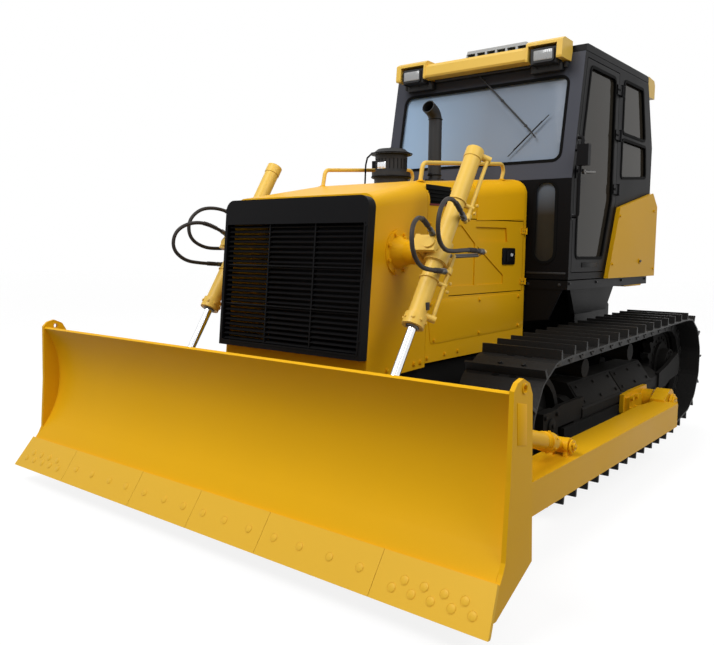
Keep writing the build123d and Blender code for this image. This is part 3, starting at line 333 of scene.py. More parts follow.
def noise(tree, scale, detail=3.0):
    """Noise on the object's own coordinates."""
    where = tree.nodes.new("ShaderNodeTexCoord")
    node = tree.nodes.new("ShaderNodeTexNoise")
    node.inputs["Detail"].default_value = detail
    tree.links.new(where.outputs["Object"], node.inputs["Vector"])
    if isinstance(scale, (int, float)):
        node.inputs["Scale"].default_value = scale
    else:
        tree.links.new(scale, node.inputs["Scale"])
    return node.outputs["Fac"]


def build_grain_group():
    """Fine unevenness: a height for Bump and a roughness that varies round its mean."""
    group, given, out = new_group("Surface grain", [("Scale", "NodeSocketFloat", 60.0),
                                                    ("Roughness", "NodeSocketFloat", 0.4),
                                                    ("Variation", "NodeSocketFloat", 0.1)],
                                  [("Height", "NodeSocketFloat"), ("Roughness", "NodeSocketFloat")])
    fine = noise(group, given.outputs["Scale"], 2.0)
    broad = noise(group, 1.7, 3.0)
    swing = math_node(group, "MULTIPLY", math_node(group, "SUBTRACT", broad, 0.5), given.outputs["Variation"])
    group.links.new(fine, out.inputs["Height"])
    group.links.new(math_node(group, "ADD", given.outputs["Roughness"], swing, True), out.inputs["Roughness"])


def build_wear_group():
    """Edge wear: a mask along sharp edges, broken up by noise."""
    group, given, out = new_group("Edge wear", [("Radius", "NodeSocketFloat", 0.006),
                                                ("Amount", "NodeSocketFloat", 0.5)],
                                  [("Mask", "NodeSocketFloat")])
    bevel = group.nodes.new("ShaderNodeBevel")
    bevel.samples = 4
    group.links.new(given.outputs["Radius"], bevel.inputs["Radius"])
    geometry = group.nodes.new("ShaderNodeNewGeometry")
    dot = group.nodes.new("ShaderNodeVectorMath")
    dot.operation = "DOT_PRODUCT"
    group.links.new(bevel.outputs[0], dot.inputs[0])
    group.links.new(geometry.outputs["Normal"], dot.inputs[1])
    edge = math_node(group, "MULTIPLY", math_node(group, "SUBTRACT", 1.0, dot.outputs["Value"]), 6.0, True)
    broken = math_node(group, "MULTIPLY", edge, noise(group, 38.0, 4.0))
    group.links.new(math_node(group, "MULTIPLY", broken, given.outputs["Amount"], True), out.inputs["Mask"])


def build_dust_group():
    """Dust: a mask that is strongest low down and on faces that look up."""
    group, given, out = new_group("Dust", [("Top", "NodeSocketFloat", 1.0),
                                           ("Amount", "NodeSocketFloat", 0.3)],
                                  [("Mask", "NodeSocketFloat")])
    height = math_node(group, "DIVIDE", own_axes(group)["Z"], given.outputs["Top"])
    low = math_node(group, "SUBTRACT", 1.0, height, True)
    geometry = group.nodes.new("ShaderNodeNewGeometry")
    facing = group.nodes.new("ShaderNodeSeparateXYZ")
    group.links.new(geometry.outputs["Normal"], facing.inputs[0])
    up = math_node(group, "ADD", math_node(group, "MULTIPLY", facing.outputs["Z"], 0.5), 0.5)
    patchy = math_node(group, "MULTIPLY", noise(group, 5.0, 5.0), math_node(group, "ADD", low, up))
    group.links.new(math_node(group, "MULTIPLY", patchy, given.outputs["Amount"], True), out.inputs["Mask"])


# The frame round the windscreen, where its painted sky reflection goes: ahead of, above and inside these, in
# metres
SCREEN_FRAME_REAR, SCREEN_FRAME_FOOT, SCREEN_FRAME_SIDE = -0.345, 2.008, 0.799


def build_front_group():
    """Cab front reflection: a mask of the frame round the windscreen, where the black paint gets a painted
    sky reflection.
    """
    group, _, out = new_group("Cab front", [], [("Mask", "NodeSocketFloat")])
    axes = own_axes(group)
    ahead = math_node(group, "GREATER_THAN", axes["X"], SCREEN_FRAME_REAR)
    above = math_node(group, "GREATER_THAN", axes["Z"], SCREEN_FRAME_FOOT)
    inside = math_node(group, "LESS_THAN", math_node(group, "ABSOLUTE", axes["Y"]), SCREEN_FRAME_SIDE)
    mask = math_node(group, "MULTIPLY", math_node(group, "MULTIPLY", ahead, above), inside)
    group.links.new(mask, out.inputs["Mask"])


def finish_named(name):
    """One of this script's materials; the frame's own have the slots' bare names."""
    return bpy.data.materials[f"{name}_finish"]


def new_material(name):
    """New material; gives its node tree and its main shader."""
    material = bpy.data.materials.new(f"{name}_finish")
    material.use_nodes = True
    tree = material.node_tree
    return tree, tree.nodes["Principled BSDF"]


def place_group(tree, name, **values):
    """Places a shader group with values for its inputs."""
    node = tree.nodes.new("ShaderNodeGroup")
    node.node_tree = bpy.data.node_groups[name]
    for title, value in values.items():
        node.inputs[title.replace("_", " ")].default_value = value
    return node


# Finishes: colour, metallic, roughness, specular, coat, grain scale, bump, wear, dust top, dust
FINISHES = {
    "yellow_paint": ("yellow", 0.0, 0.36, 0.06, 0.0, 90, 0.02, 0.05, 1.6, 0.02),
    "edge_yellow": ("edge_yellow", 0.0, 0.40, 0.12, 0.0, 90, 0.02, 0.05, 1.2, 0.0),
    "pale_yellow_paint": ("pale_yellow", 0.0, 0.38, 0.20, 0.0, 90, 0.03, 0.05, 1.2, 0.02),
    "bright_yellow": ("bright_yellow", 0.0, 0.45, 0.08, 0.0, 90, 0.01, 0.0, 1.2, 0.0),
    "red_lip": ("red", 0.0, 0.45, 0.2, 0.0, 90, 0.01, 0.0, 1.0, 0.0),
    "cab_black": ("black", 0.0, 0.42, 0.05, 0.0, 110, 0.03, 0.03, 1.4, 0.0),
    "black_paint": ("black", 0.0, 0.42, 0.06, 0.0, 110, 0.03, 0.03, 1.4, 0.02),
    "shadow_black": ("shadow", 0.0, 0.85, 0.1, 0.0, 60, 0.02, 0.0, 1.0, 0.0),
    "undercarriage_black": ("track", 0.0, 0.66, 0.05, 0.0, 60, 0.10, 0.06, 1.1, 0.05),
    "grey_paint": ("engine", 0.0, 0.5, 0.4, 0.0, 70, 0.08, 0.2, 1.6, 0.1),
    "track_steel": ("track", 0.0, 0.50, 0.18, 0.0, 45, 0.16, 0.14, 1.1, 0.03),
    "fitting_steel": ("steel", 0.8, 0.34, 0.5, 0.0, 120, 0.03, 0.0, 1.0, 0.0),
    "rod_chrome": ("chrome", 1.0, 0.14, 0.5, 0.0, 300, 0.0, 0.0, 0.6, 0.0),
    "hose_rubber": ("rubber", 0.0, 0.55, 0.3, 0.0, 250, 0.08, 0.0, 1.0, 0.02),
    "seat_fabric": ("fabric", 0.0, 0.85, 0.3, 0.0, 420, 0.25, 0.0, 1.0, 0.0),
    "dark_plastic": ("plastic", 0.0, 0.55, 0.3, 0.0, 380, 0.08, 0.0, 1.0, 0.0),
    "lamp_lens": ("lens", 0.0, 0.14, 0.5, 0.6, 60, 0.01, 0.0, 1.0, 0.0),
    "vent_grey": ("vent", 0.0, 0.5, 0.4, 0.0, 200, 0.04, 0.05, 1.0, 0.0),
}
# Nodes whose look differs from their slot's own finish
OTHER_FINISH = {
    "cutting_edges": "edge_yellow",
    "cab_shell": "cab_black",
    # painted reflection: the visor takes the paler yellow, as if its front caught the sky
    "cab_visor": "pale_yellow_paint",
    "handrails": "pale_yellow_paint",
    "precleaner": "dark_plastic",
    "exhaust_stack": "dark_plastic",
    "work_lamps": "dark_plastic",
    "track_frame_left": "undercarriage_black",
    "track_frame_right": "undercarriage_black",
    "main_frame": "undercarriage_black",
    "track_rollers": "undercarriage_black",
    "front_idlers": "undercarriage_black",
    "sprockets": "undercarriage_black",
}
# How a finish varies: share and depth of its darker clouds, swing of its roughness, width of its worn edges
CLOUD_SHARE, CLOUD_DEPTH, ROUGH_SWING, WORN_WIDTH, BUMP_REACH = 0.22, 0.72, 0.16, 0.004, 0.01


def build_finish(name, colour, metallic, rough, specular, coat, scale, bump, wear, dust_top, dust):
    """Painted, metal or rubber finish with clouds, worn edges, dust and grain."""
    tree, shader = new_material(name)
    base = (*colour, 1.0)
    broad = noise(tree, 1.1, 2.0)
    darker = (*[channel * CLOUD_DEPTH for channel in colour], 1)
    shaded = mix_colour(tree, math_node(tree, "MULTIPLY", broad, CLOUD_SHARE), base, darker)
    # painted reflection: the black of the cab's front frame is lightened to blue-grey, as if it caught the
    # sky
    if name == "cab_black":
        mask = place_group(tree, "Cab front").outputs["Mask"]
        shaded = mix_colour(tree, mask, shaded, (*bpy.context.scene.dozer_paint.front_frame_reflection, 1))
    if wear:
        worn = tuple(min(1.0, 0.05 + channel * 1.25) for channel in colour)
        mask = place_group(tree, "Edge wear", Radius=WORN_WIDTH, Amount=wear).outputs["Mask"]
        shaded = mix_colour(tree, mask, shaded, (*worn, 1))
    if dust:
        mask = place_group(tree, "Dust", Top=dust_top, Amount=dust).outputs["Mask"]
        shaded = mix_colour(tree, mask, shaded, (*bpy.context.scene.dozer_paint.dust, 1))
    tree.links.new(shaded, shader.inputs["Base Color"])
    grain = place_group(tree, "Surface grain", Scale=scale, Roughness=rough, Variation=ROUGH_SWING)
    tree.links.new(grain.outputs["Roughness"], shader.inputs["Roughness"])
    bumped = tree.nodes.new("ShaderNodeBump")
    bumped.inputs["Strength"].default_value = bump
    bumped.inputs["Distance"].default_value = BUMP_REACH
    tree.links.new(grain.outputs["Height"], bumped.inputs["Height"])
    tree.links.new(bumped.outputs[0], shader.inputs["Normal"])
    shader.inputs["Metallic"].default_value = metallic
    shader.inputs["Specular IOR Level"].default_value = specular
    shader.inputs["Coat Weight"].default_value = coat
    shader.inputs["Coat Roughness"].default_value = 0.12


# Where panes stand: beyond SIDE_PANES from the middle, below LOW_PANES, ahead of OVAL_PANES, in metres
SIDE_PANES, LOW_PANES, OVAL_PANES = 0.77, 1.998, -0.2
FRONT_ALPHA, SIDE_ALPHA = 0.74, 0.94


def tinted(colour, *factors):
    """Colour whose channels are multiplied, with its alpha."""
    return (*[channel * factor for channel, factor in zip(colour, factors)], 1)


def build_glass(name, colour, side_reflection_colour, rough):
    """Tinted pane with painted reflections: clouded in front and brighter and bluer to the right, a painted
    sky reflection; darker and denser at the sides and low down, in browns and teals that are a painted
    reflection of the surroundings.
    """
    tree, shader = new_material(name)
    axes = own_axes(tree)
    low = math_node(tree, "LESS_THAN", axes["Z"], LOW_PANES)
    aside = math_node(tree, "GREATER_THAN", math_node(tree, "ABSOLUTE", axes["Y"]), SIDE_PANES)
    aside = math_node(tree, "MAXIMUM", aside, low)
    cloud = noise(tree, 1.3, 2.0)
    # painted reflection: the windscreen is brightened and blued towards the machine's right
    right = math_node(tree, "ADD", math_node(tree, "MULTIPLY", axes["Y"], -1.3), 0.1)
    front = mix_colour(tree, right, (*colour, 1), tinted(colour, 1.6, 1.9, 2.1))
    front = mix_colour(tree, math_node(tree, "MULTIPLY", cloud, 0.5), front, tinted(colour, 0.7, 0.7, 0.7))
    # painted reflection: side and low panes are brown with teal clouds, as if mirroring their surroundings
    side = mix_colour(tree, cloud, (*side_reflection_colour, 1), tinted(side_reflection_colour, 0.7, 1.2, 1.5))
    pane_with_painted_reflections = mix_colour(tree, aside, front, side)
    # painted sky reflection: the oval panes beside the hood lighten towards their tops
    rise = math_node(tree, "ADD", math_node(tree, "MULTIPLY", axes["Z"], 9.0), -15.8)
    oval_sky_reflection = math_node(tree, "MULTIPLY", math_node(tree, "GREATER_THAN", axes["X"], OVAL_PANES), rise)
    oval_sky_reflection = math_node(tree, "MULTIPLY", math_node(tree, "MULTIPLY", oval_sky_reflection, low), cloud)
    pane_with_painted_reflections = mix_colour(tree, oval_sky_reflection, pane_with_painted_reflections, tinted(colour, 0.42, 0.42, 0.42))
    tree.links.new(pane_with_painted_reflections, shader.inputs["Base Color"])
    shader.inputs["Roughness"].default_value = rough
    denser = math_node(tree, "MULTIPLY", aside, SIDE_ALPHA - FRONT_ALPHA)
    tree.links.new(math_node(tree, "ADD", denser, FRONT_ALPHA), shader.inputs["Alpha"])
    shader.inputs["Specular IOR Level"].default_value = 0.08


# ---- operators ----------------------------------------------------------------------------
class DozerOperator:
    """What the operators share: each builds with the scene's colours and sizes."""
    bl_options = {"REGISTER", "UNDO"}

    def execute(self, context):
        self.build(context.scene.dozer_paint, context.scene.dozer_sizes)
        return {"FINISHED"}


class DOZER_OT_camera(bpy.types.Operator):
    """Place the camera"""
    bl_idname = "dozer.camera"
    bl_label = "Camera"

    def execute(self, context):
        view = context.scene.dozer_view
        data = bpy.data.cameras.new("studio_camera")
        data.lens = view.lens
        data.sensor_width = 36
        data.clip_end = 60
        camera = bpy.data.objects.new("studio_camera", data)
        context.scene.collection.objects.link(camera)
        aim = Euler((math.pi / 2 + view.pitch, 0, view.heading - math.pi / 2)).to_matrix().to_4x4()
        camera.matrix_world = Matrix.Translation(view.place) @ aim @ Matrix.Rotation(view.roll, 4, "Z")
        context.scene.camera = camera
        return {"FINISHED"}


class DOZER_OT_finishes(DozerOperator, bpy.types.Operator):
    """Make the finishes and put them on the frame's parts"""
    bl_idname = "dozer.finishes"
    bl_label = "Finishes"

    def build(self, paint, sizes):
        build_grain_group()
        build_wear_group()
        build_dust_group()
        build_front_group()
        for name, (colour, *values) in FINISHES.items():
            build_finish(name, tuple(getattr(paint, colour)), *values)
        build_glass("window_glass", tuple(paint.glass), tuple(paint.side_glass_reflection), 0.05)
        slots = {entry["node"]: entry["material_slot"] for entry in frame["record"]["subparts"]}
        for node, piece in frame["nodes"].items():
            for slot in piece.material_slots:
                slot.material = finish_named(OTHER_FINISH.get(node, slots[node]))


# Routes of the left hoses, in metres, and their lengths
HOSES = {
    "lower": ([(1.576, 0.786, 1.578), (1.680, 0.810, 1.640), (1.804, 0.846, 1.658), (1.914, 0.884, 1.602),
               (1.930, 0.900, 1.488), (1.842, 0.890, 1.412), (1.720, 0.874, 1.396), (1.636, 0.862, 1.392),
               (1.556, 0.850, 1.386)], 0.88),
    "upper": ([(1.364, 0.846, 1.664), (1.458, 0.868, 1.722), (1.568, 0.894, 1.756), (1.686, 0.922, 1.746),
               (1.770, 0.940, 1.664), (1.762, 0.936, 1.552), (1.664, 0.914, 1.494), (1.540, 0.894, 1.490),
               (1.414, 0.876, 1.496), (1.290, 0.862, 1.498), (1.166, 0.852, 1.490)], 1.18),
}


class DOZER_OT_hoses(DozerOperator, bpy.types.Operator):
    """Lead the hydraulic hoses of the lift cylinders"""
    bl_idname = "dozer.hoses"
    bl_label = "Hoses"

    def build(self, paint, sizes):
        for level, (route, metres) in HOSES.items():
            for side, sign in SIDES:
                name = f"hydraulic_hose_{level}_{side}"
                data = bpy.data.curves.new(name, "CURVE")
                data.dimensions = "3D"
                data.bevel_depth = sizes.hose_thickness / 2
                data.bevel_resolution = 4
                data.resolution_u = 8
                data.use_fill_caps = True
                spline = data.splines.new("NURBS")
                spline.points.add(len(route) - 1)
                for point, (x, y, z) in zip(spline.points, route):
                    point.co = (x, sign * y, z, 1)
                spline.order_u = 3
                spline.use_endpoint_u = True
                hose = bpy.data.objects.new(name, data)
                bpy.context.scene.collection.objects.link(hose)
                data.materials.append(finish_named("hose_rubber"))
                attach(hose, f"lift_cylinder_{side}_body")
                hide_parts(f"hose_{level}_{side}")
                x, y, z = route[0]


# ---- fittings of the tracks ---------------------------------------------------------------
# Pin line of a track as a belt round circles (x, z, radius), as the frame's tracks have it
BELT = ((0.770, 0.472, 0.352), (-1.420, 0.270, 0.150), (-1.840, 0.535, 0.345))
SHOE_PITCH, PIN_PHASE, PLATE_OUT, TRACK_Y = 0.186, 0.120, 0.065, 0.940


def belt_pins():
    """Pins of one track, in order round the belt."""
    normals = []
    for (x0, z0, r0), (x1, z1, r1) in zip(BELT, BELT[1:] + BELT[:1]):
        away = math.atan2(z1 - z0, x1 - x0)
        normals.append(away + math.acos((r0 - r1) / math.hypot(x1 - x0, z1 - z0)))
    runs = []
    for i, normal in enumerate(normals):
        (x0, z0, r0), (x1, z1, r1) = BELT[i], BELT[(i + 1) % 3]
        start = Vector((x0 + r0 * math.cos(normal), 0, z0 + r0 * math.sin(normal)))
        end = Vector((x1 + r1 * math.cos(normal), 0, z1 + r1 * math.sin(normal)))
        runs.append((start, end, (end - start).length))
        turn = (normal - normals[(i + 1) % 3]) % (2 * math.pi)
        runs.append(((x1, z1, r1), normal, r1 * turn))
    whole = sum(run[2] for run in runs)
    count = round(whole / SHOE_PITCH)
    pins = []
    for k in range(count):
        distance = (runs[0][2] + runs[1][2] / 2 + PIN_PHASE + whole * k / count) % whole
        for first, second, metres in runs:
            if distance <= metres:
                break
            distance -= metres
        if isinstance(first, Vector):
            pins.append(first.lerp(second, distance / metres))
        else:
            x, z, radius = first
            angle = second - distance / radius
            pins.append(Vector((x + radius * math.cos(angle), 0, z + radius * math.sin(angle))))
    return pins


def shoe_places():
    """Frame of each shoe: X along the belt, Y across the machine, Z out of the track."""
    pins = belt_pins()
    for start, end in zip(pins, pins[1:] + pins[:1]):
        along = (end - start).normalized()
        out = along.cross(LEFT)
        turn = Matrix((along, LEFT, out)).transposed().to_4x4()
        yield Matrix.Translation(start + Vector((0, TRACK_Y, 0))) @ turn, (end - start).length


class DOZER_OT_tracks(DozerOperator, bpy.types.Operator):
    """Bolts, relief slots and pins of the tracks, and the bolts of rollers and wheels"""
    bl_idname = "dozer.tracks"
    bl_label = "Track fittings"

    def build(self, paint, sizes):
        bolts, slots, links = bmesh.new(), bmesh.new(), bmesh.new()
        for place, pitch in shoe_places():
            across, out = place.to_3x3().col[1], place.to_3x3().col[2]
            # bolts and slots: shares of the pitch along the shoe, distances across it
            for share in (0.30, 0.56):
                for side in (-0.075, 0.075):
                    add_bolt(bolts, place @ Vector((share * pitch, side, PLATE_OUT)), out, sizes.shoe_bolt)
            # painted shade: the relief slots are thin near-black ovals on the shoe, standing for the shaded
            # holes
            for side in (-0.055, 0.055):
                spot = place @ Matrix.Translation((0.90 * pitch, side, PLATE_OUT + 0.001))
                narrowed = spot @ Matrix.Diagonal((0.42, 1, 1, 1))
                made = bmesh.ops.create_cone(slots, cap_ends=True, segments=16, radius1=0.026, radius2=0.024,
                                             depth=0.004, matrix=narrowed)["verts"]
                round_edges(slots, made, 0.001, 1)
            for sign in (-1, 1):
                add_disc(links, place @ Vector((0, sign * 0.094, 0)), across * sign, 0.043, 0.007, 20, 0.002)
                add_disc(links, place @ Vector((0, sign * 0.100, 0)), across * sign, 0.022, 0.007, 14, 0.002)
            add_rod(links, place @ Vector((0, -0.056, 0)), place @ Vector((0, 0.056, 0)), 0.032, 14)
        for name, shape, finish in (("shoe_bolts", bolts, "track_steel"),
                                    ("shoe_relief_slots", slots, "shadow_black"),
                                    ("chain_pins", links, "track_steel")):
            mirror_across(shape)
            put(name, shape, "machine", finish)
        self.wheels()

    def wheels(self):
        """Bolts and caps of idlers, sprockets, roller guards and the track frames' covers."""
        shape = bmesh.new()
        out = LEFT
        # idler: four bolts, cap and plug
        x, z = BELT[0][:2]
        for dx in (-0.08, 0.08):
            for dz in (-0.07, 0.06):
                add_bolt(shape, (x + dx, TRACK_Y + 0.178, z + dz), out, 0.013)
        add_disc(shape, (x, TRACK_Y + 0.178, z), out, 0.046, 0.012, 28, 0.004)
        add_disc(shape, (x, TRACK_Y + 0.190, z), out, 0.014, 0.010, 6, 0.002)
        # sprocket: bolts of its rim and of its hub
        x, z = BELT[2][:2]
        for dx, dz in circle(20, 0.225, 0.5):
            add_bolt(shape, (x + dx, TRACK_Y + 0.018, z + dz), out, 0.011)
        for dx, dz in circle(10, 0.112):
            add_bolt(shape, (x + dx, TRACK_Y + 0.105, z + dz), out, 0.010)
        add_ring(shape, (x, TRACK_Y + 0.105, z), out, 0.128, 0.005)
        # row along the roller guard
        for step in range(9):
            add_bolt(shape, (-1.42 + 0.235 * step, TRACK_Y + 0.158, 0.300), out, 0.014)
        # the sloping cover: two plates with a gap, bolted along both edges
        down, lean = Vector((0, 0.115, -0.160)).normalized(), Vector((0, 0.812, 0.584))
        top = Vector((0, 0.985, 0.640))
        for x0, x1 in ((-1.175, -0.505), (-0.485, 0.220)):
            corners = [Vector((x, 0, 0)) + top + down * reach + lean * 0.0005
                       for x, reach in ((x0, 0.015), (x1, 0.015), (x1, 0.180), (x0, 0.180))]
            add_plate(shape, corners, lean, 0.006, 0.002)
            for x in (x0 + 0.06, (x0 + x1) / 2, x1 - 0.06):
                for reach in (0.045, 0.150):
                    add_bolt(shape, Vector((x, 0, 0)) + top + down * reach + lean * 0.006, lean, 0.011)
        # pads below the guard's bolts
        for x in (0.05, -0.35, -0.75, -1.15):
            add_block(shape, (x - 0.05, TRACK_Y + 0.156, 0.214), (x + 0.05, TRACK_Y + 0.168, 0.252), 0.004)
        mirror_across(shape)
        put("undercarriage_fittings", shape, "machine", "undercarriage_black")


# ---- fittings of the blade ----------------------------------------------------------------
EDGE_TIP, EDGE_LEAN = (2.570, 0.106), math.radians(55)
# Bolts' distances from the middle: upper and lower row of the end bits, row of the middle edge
BIT_UPPER, BIT_LOWER = (1.287, 1.381, 1.472, 1.562), (1.242, 1.336, 1.425, 1.518, 1.608)
MIDDLE_BOLTS = (0.076, 0.233, 0.403, 0.569, 0.727, 0.901, 1.065)
# Pins seen from the side, as x and z, and the plane in which brace and tilt cylinder lie
ARM_EYE, BRACE_FOOT, BRACE_TOP, ROD_EYE = (2.045, 0.322), (1.090, 0.462), (2.150, 0.755), (2.120, 0.498)
BRACE_Y = 1.320
BALL = (-0.900, 0.385)
PLATE_Y = 1.6675


class DOZER_OT_blade(DozerOperator, bpy.types.Operator):
    """Plow bolts, pins and blank plates of the blade and its arms"""
    bl_idname = "dozer.blade"
    bl_label = "Blade fittings"

    def build(self, paint, sizes):
        shape = bmesh.new()
        normal = Vector((math.sin(EDGE_LEAN), 0, math.cos(EDGE_LEAN)))
        tip = Vector((EDGE_TIP[0], 0, EDGE_TIP[1]))
        slope = Vector((-math.cos(EDGE_LEAN), 0, math.sin(EDGE_LEAN)))
        for row, reach in ((BIT_UPPER, 0.107), (BIT_LOWER, 0.065), (MIDDLE_BOLTS, 0.097)):
            for y in row:
                spot = tip + slope * reach + Vector((0, y, 0))
                add_disc(shape, spot - normal * 0.001, normal, sizes.plow_bolt, 0.0028, 28, 0.0012)
                add_ring(shape, spot, normal, sizes.plow_bolt + 0.0020, 0.0012, 28, 6)
        mirror_across(shape)
        put("plow_bolts", shape, "blade", "edge_yellow")
        pins = bmesh.new()
        out = LEFT
        # pins: place, outer face, radius
        for (x, z), y, radius in ((ARM_EYE, 1.450, 0.040), (BRACE_FOOT, 1.378, 0.026),
                                  (BRACE_TOP, 1.372, 0.032), (ROD_EYE, 0.847, 0.030)):
            add_disc(pins, (x, y - 0.002, z), out, radius * 1.45, 0.012, 28, 0.003)
            add_disc(pins, (x, y + 0.010, z), out, radius * 0.8, 0.012, 28, 0.003)
            add_bolt(pins, (x + radius * 0.95, y + 0.009, z + radius * 0.6), out, 0.007)
            add_rod(pins, (x, y + 0.02, z), (x, y + 0.028, z), 0.008, 10)
        add_ring(pins, (2.290, 1.669, 0.978), out, 0.018, 0.004, 28, 6)
        # cap of the arm's ball on the trunnion
        add_disc(pins, (BALL[0], 1.350, BALL[1]), out, 0.052, 0.014, 32, 0.004)
        for dx, dz in circle(6, 0.036):
            add_bolt(pins, (BALL[0] + dx, 1.364, BALL[1] + dz), out, 0.006)
        mirror_across(pins)
        put("blade_pins", pins, "blade", "yellow_paint")
        plate = bmesh.new()
        outline = ((2.347, 0.932), (2.335, 0.768), (2.256, 0.752), (2.266, 0.915))
        add_plate(plate, [(x, PLATE_Y, z) for x, z in outline], out, 0.0025, 0.001)
        mirror_across(plate)
        put("blank_sign_plates", plate, "blade", "bright_yellow")
        self.joints()

    def joints(self):
        """Collars and seals of the brace and the tilt cylinder."""
        shape = bmesh.new()
        low = Vector((BRACE_FOOT[0], BRACE_Y, BRACE_FOOT[1]))
        high = Vector((BRACE_TOP[0], BRACE_Y, BRACE_TOP[1]))
        run = high - low
        for share in (0.215, 0.235, 0.785):
            add_ring(shape, low + run * share, run, 0.047, 0.004, 32, 8)
        for share in (0.165, 0.835):
            for dx, dy in circle(6):
                side = turned(run) @ Vector((dx, dy, 0))
                add_disc(shape, low + run * share + side * 0.052, side, 0.008, 0.007, 6, 0.001)
        put("brace_collars", shape, "blade", "yellow_paint")
        shape = bmesh.new()
        low.y = -BRACE_Y
        out = -LEFT
        for share in (0.12, 0.50):
            place = low + run * share + out * 0.058
            add_disc(shape, place, out, 0.017, 0.028, 20, 0.003)
            add_disc(shape, place + out * 0.022, out, 0.021, 0.014, 6, 0.002)
        add_ring(shape, low + run * 0.625, run, 0.030, 0.005, 32, 8)
        put("tilt_cylinder_ports", shape, "blade", "yellow_paint")


# ---- fittings of the lift cylinders -------------------------------------------------------
LIFT_PIVOT, LIFT_Y = (1.505, 1.480), 0.780
LIFT_RUN = Vector((ROD_EYE[0] - LIFT_PIVOT[0], 0, ROD_EYE[1] - LIFT_PIVOT[1])).normalized()
LIFT_BACK = Vector((LIFT_RUN.z, 0, -LIFT_RUN.x))


def lift_spot(along, side=0.0, behind=0.0):
    """Point by the left lift cylinder: along its axis, to the machine's left and behind it."""
    pivot = Vector((LIFT_PIVOT[0], LIFT_Y + side, LIFT_PIVOT[1]))
    return pivot + LIFT_RUN * along + LIFT_BACK * behind


class DOZER_OT_cylinders(DozerOperator, bpy.types.Operator):
    """Beads, bands, hose ends and wraps of the lift cylinders, and their plated rods"""
    bl_idname = "dozer.cylinders"
    bl_label = "Cylinder fittings"

    def build(self, paint, sizes):
        for side, sign in SIDES:
            body = f"lift_cylinder_{side}_body"
            barrel, steel, wraps = bmesh.new(), bmesh.new(), bmesh.new()
            # weld beads, then the clamps' bands: place along the cylinder, radius, thickness
            for along, radius, bead in ((-0.615, 0.0475, 0.004), (0.376, 0.0475, 0.005),
                                        (0.436, 0.054, 0.004), (-0.062, 0.048, 0.005),
                                        (0.062, 0.048, 0.005)):
                add_ring(barrel, lift_spot(along), LIFT_RUN, radius, bead, 36, 8)
            for along in (-0.325, 0.162):
                add_ring(barrel, lift_spot(along), LIFT_RUN, 0.049, 0.006, 36, 6)
            # gland bolts, then the bolts of the clamps
            for dy, back in circle(8, 1.0, 0.5):
                out = Vector((0, dy, 0)) + LIFT_BACK * back
                add_disc(barrel, lift_spot(0.405) + out * 0.058, out, 0.009, 0.007, 6, 0.001)
            for along in (-0.30, -0.35, 0.14, 0.19):
                add_disc(barrel, lift_spot(along, 0.075, 0.075), LEFT, 0.009, 0.012, 6, 0.001)
            add_ring(steel, lift_spot(0.441), LIFT_RUN, 0.030, 0.006, 36, 8)
            for route, _ in HOSES.values():
                for end in (route[:3], route[:-4:-1]):
                    first, second, third = (Vector(point) for point in end)
                    way = (second - first).normalized()
                    add_disc(steel, first - way * 0.004, way, 0.0185, 0.020, 6, 0.002)
                    add_disc(steel, first + way * 0.016, way, 0.0150, 0.034, 20, 0.002)
                    # spiral wrap over the hose's first bend
                    last = (second + third) / 2
                    for k in range(9):
                        t = 0.42 + 0.065 * k
                        spot = first * (1 - t) ** 2 + second * 2 * t * (1 - t) + last * t ** 2
                        heading = (second - first) * (1 - t) + (last - second) * t
                        add_ring(wraps, spot, heading, 0.0115, 0.0030, 20, 6)
            # rubber pad on the barrel, and the pipe behind it
            pad = lift_spot(0.318, 0.046)
            add_block(wraps, pad - Vector((0.014, 0.004, 0.020)), pad + Vector((0.014, 0.007, 0.020)), 0.004)
            add_rod(steel, (1.150, 0.812, 1.470), (1.450, 0.800, 1.462), 0.0115, 20)
            to_side(sign, barrel, steel, wraps)
            put(f"cylinder_bands_{side}", barrel, body, "pale_yellow_paint")
            put(f"hose_ends_{side}", steel, body, "fitting_steel")
            put(f"hose_wraps_{side}", wraps, body, "hose_rubber")
            eye, rod = bmesh.new(), bmesh.new()
            for way in (1, -1):
                face = (ROD_EYE[0], LIFT_Y + way * 0.026, ROD_EYE[1])
                add_disc(eye, face, (0, way, 0), 0.036, 0.006, 28, 0.002)
            # smooth skin just over the rod
            add_rod(rod, lift_spot(0.070), lift_spot(1.115), 0.02404, 96)
            to_side(sign, eye, rod)
            put(f"rod_eye_rings_{side}", eye, f"lift_rod_{side}_body", "fitting_steel")
            put(f"rod_plating_{side}", rod, f"lift_rod_{side}_body", "rod_chrome")


# ---- fittings of the hood and the radiator guard ------------------------------------------
HOOD_REAR, HOOD_FRONT, GUARD_REAR, GUARD_FRONT = -0.155, 1.150, 1.153, 1.900
DOOR_FACE = 0.4725
STACK, CLEANER = (0.285, -0.040), (0.590, -0.200)


def hood_share(x):
    """How far forward x is along the hood, from 0 to 1."""
    return (x - HOOD_REAR) / (HOOD_FRONT - HOOD_REAR)


def hood_half(x):
    """Half width of the hood or the guard at x."""
    if x < HOOD_FRONT:
        return 0.472 + 0.004 * hood_share(x)
    return 0.476 + 0.076 * (x - GUARD_REAR) / (GUARD_FRONT - GUARD_REAR)


def hood_top(x):
    """Height of the hood's top at x."""
    return 2.012 - 0.110 * hood_share(x)


def hood_side(x, z, proud=0.0):
    """Point on the hood's left side."""
    return Vector((x, hood_half(x) + proud, z))


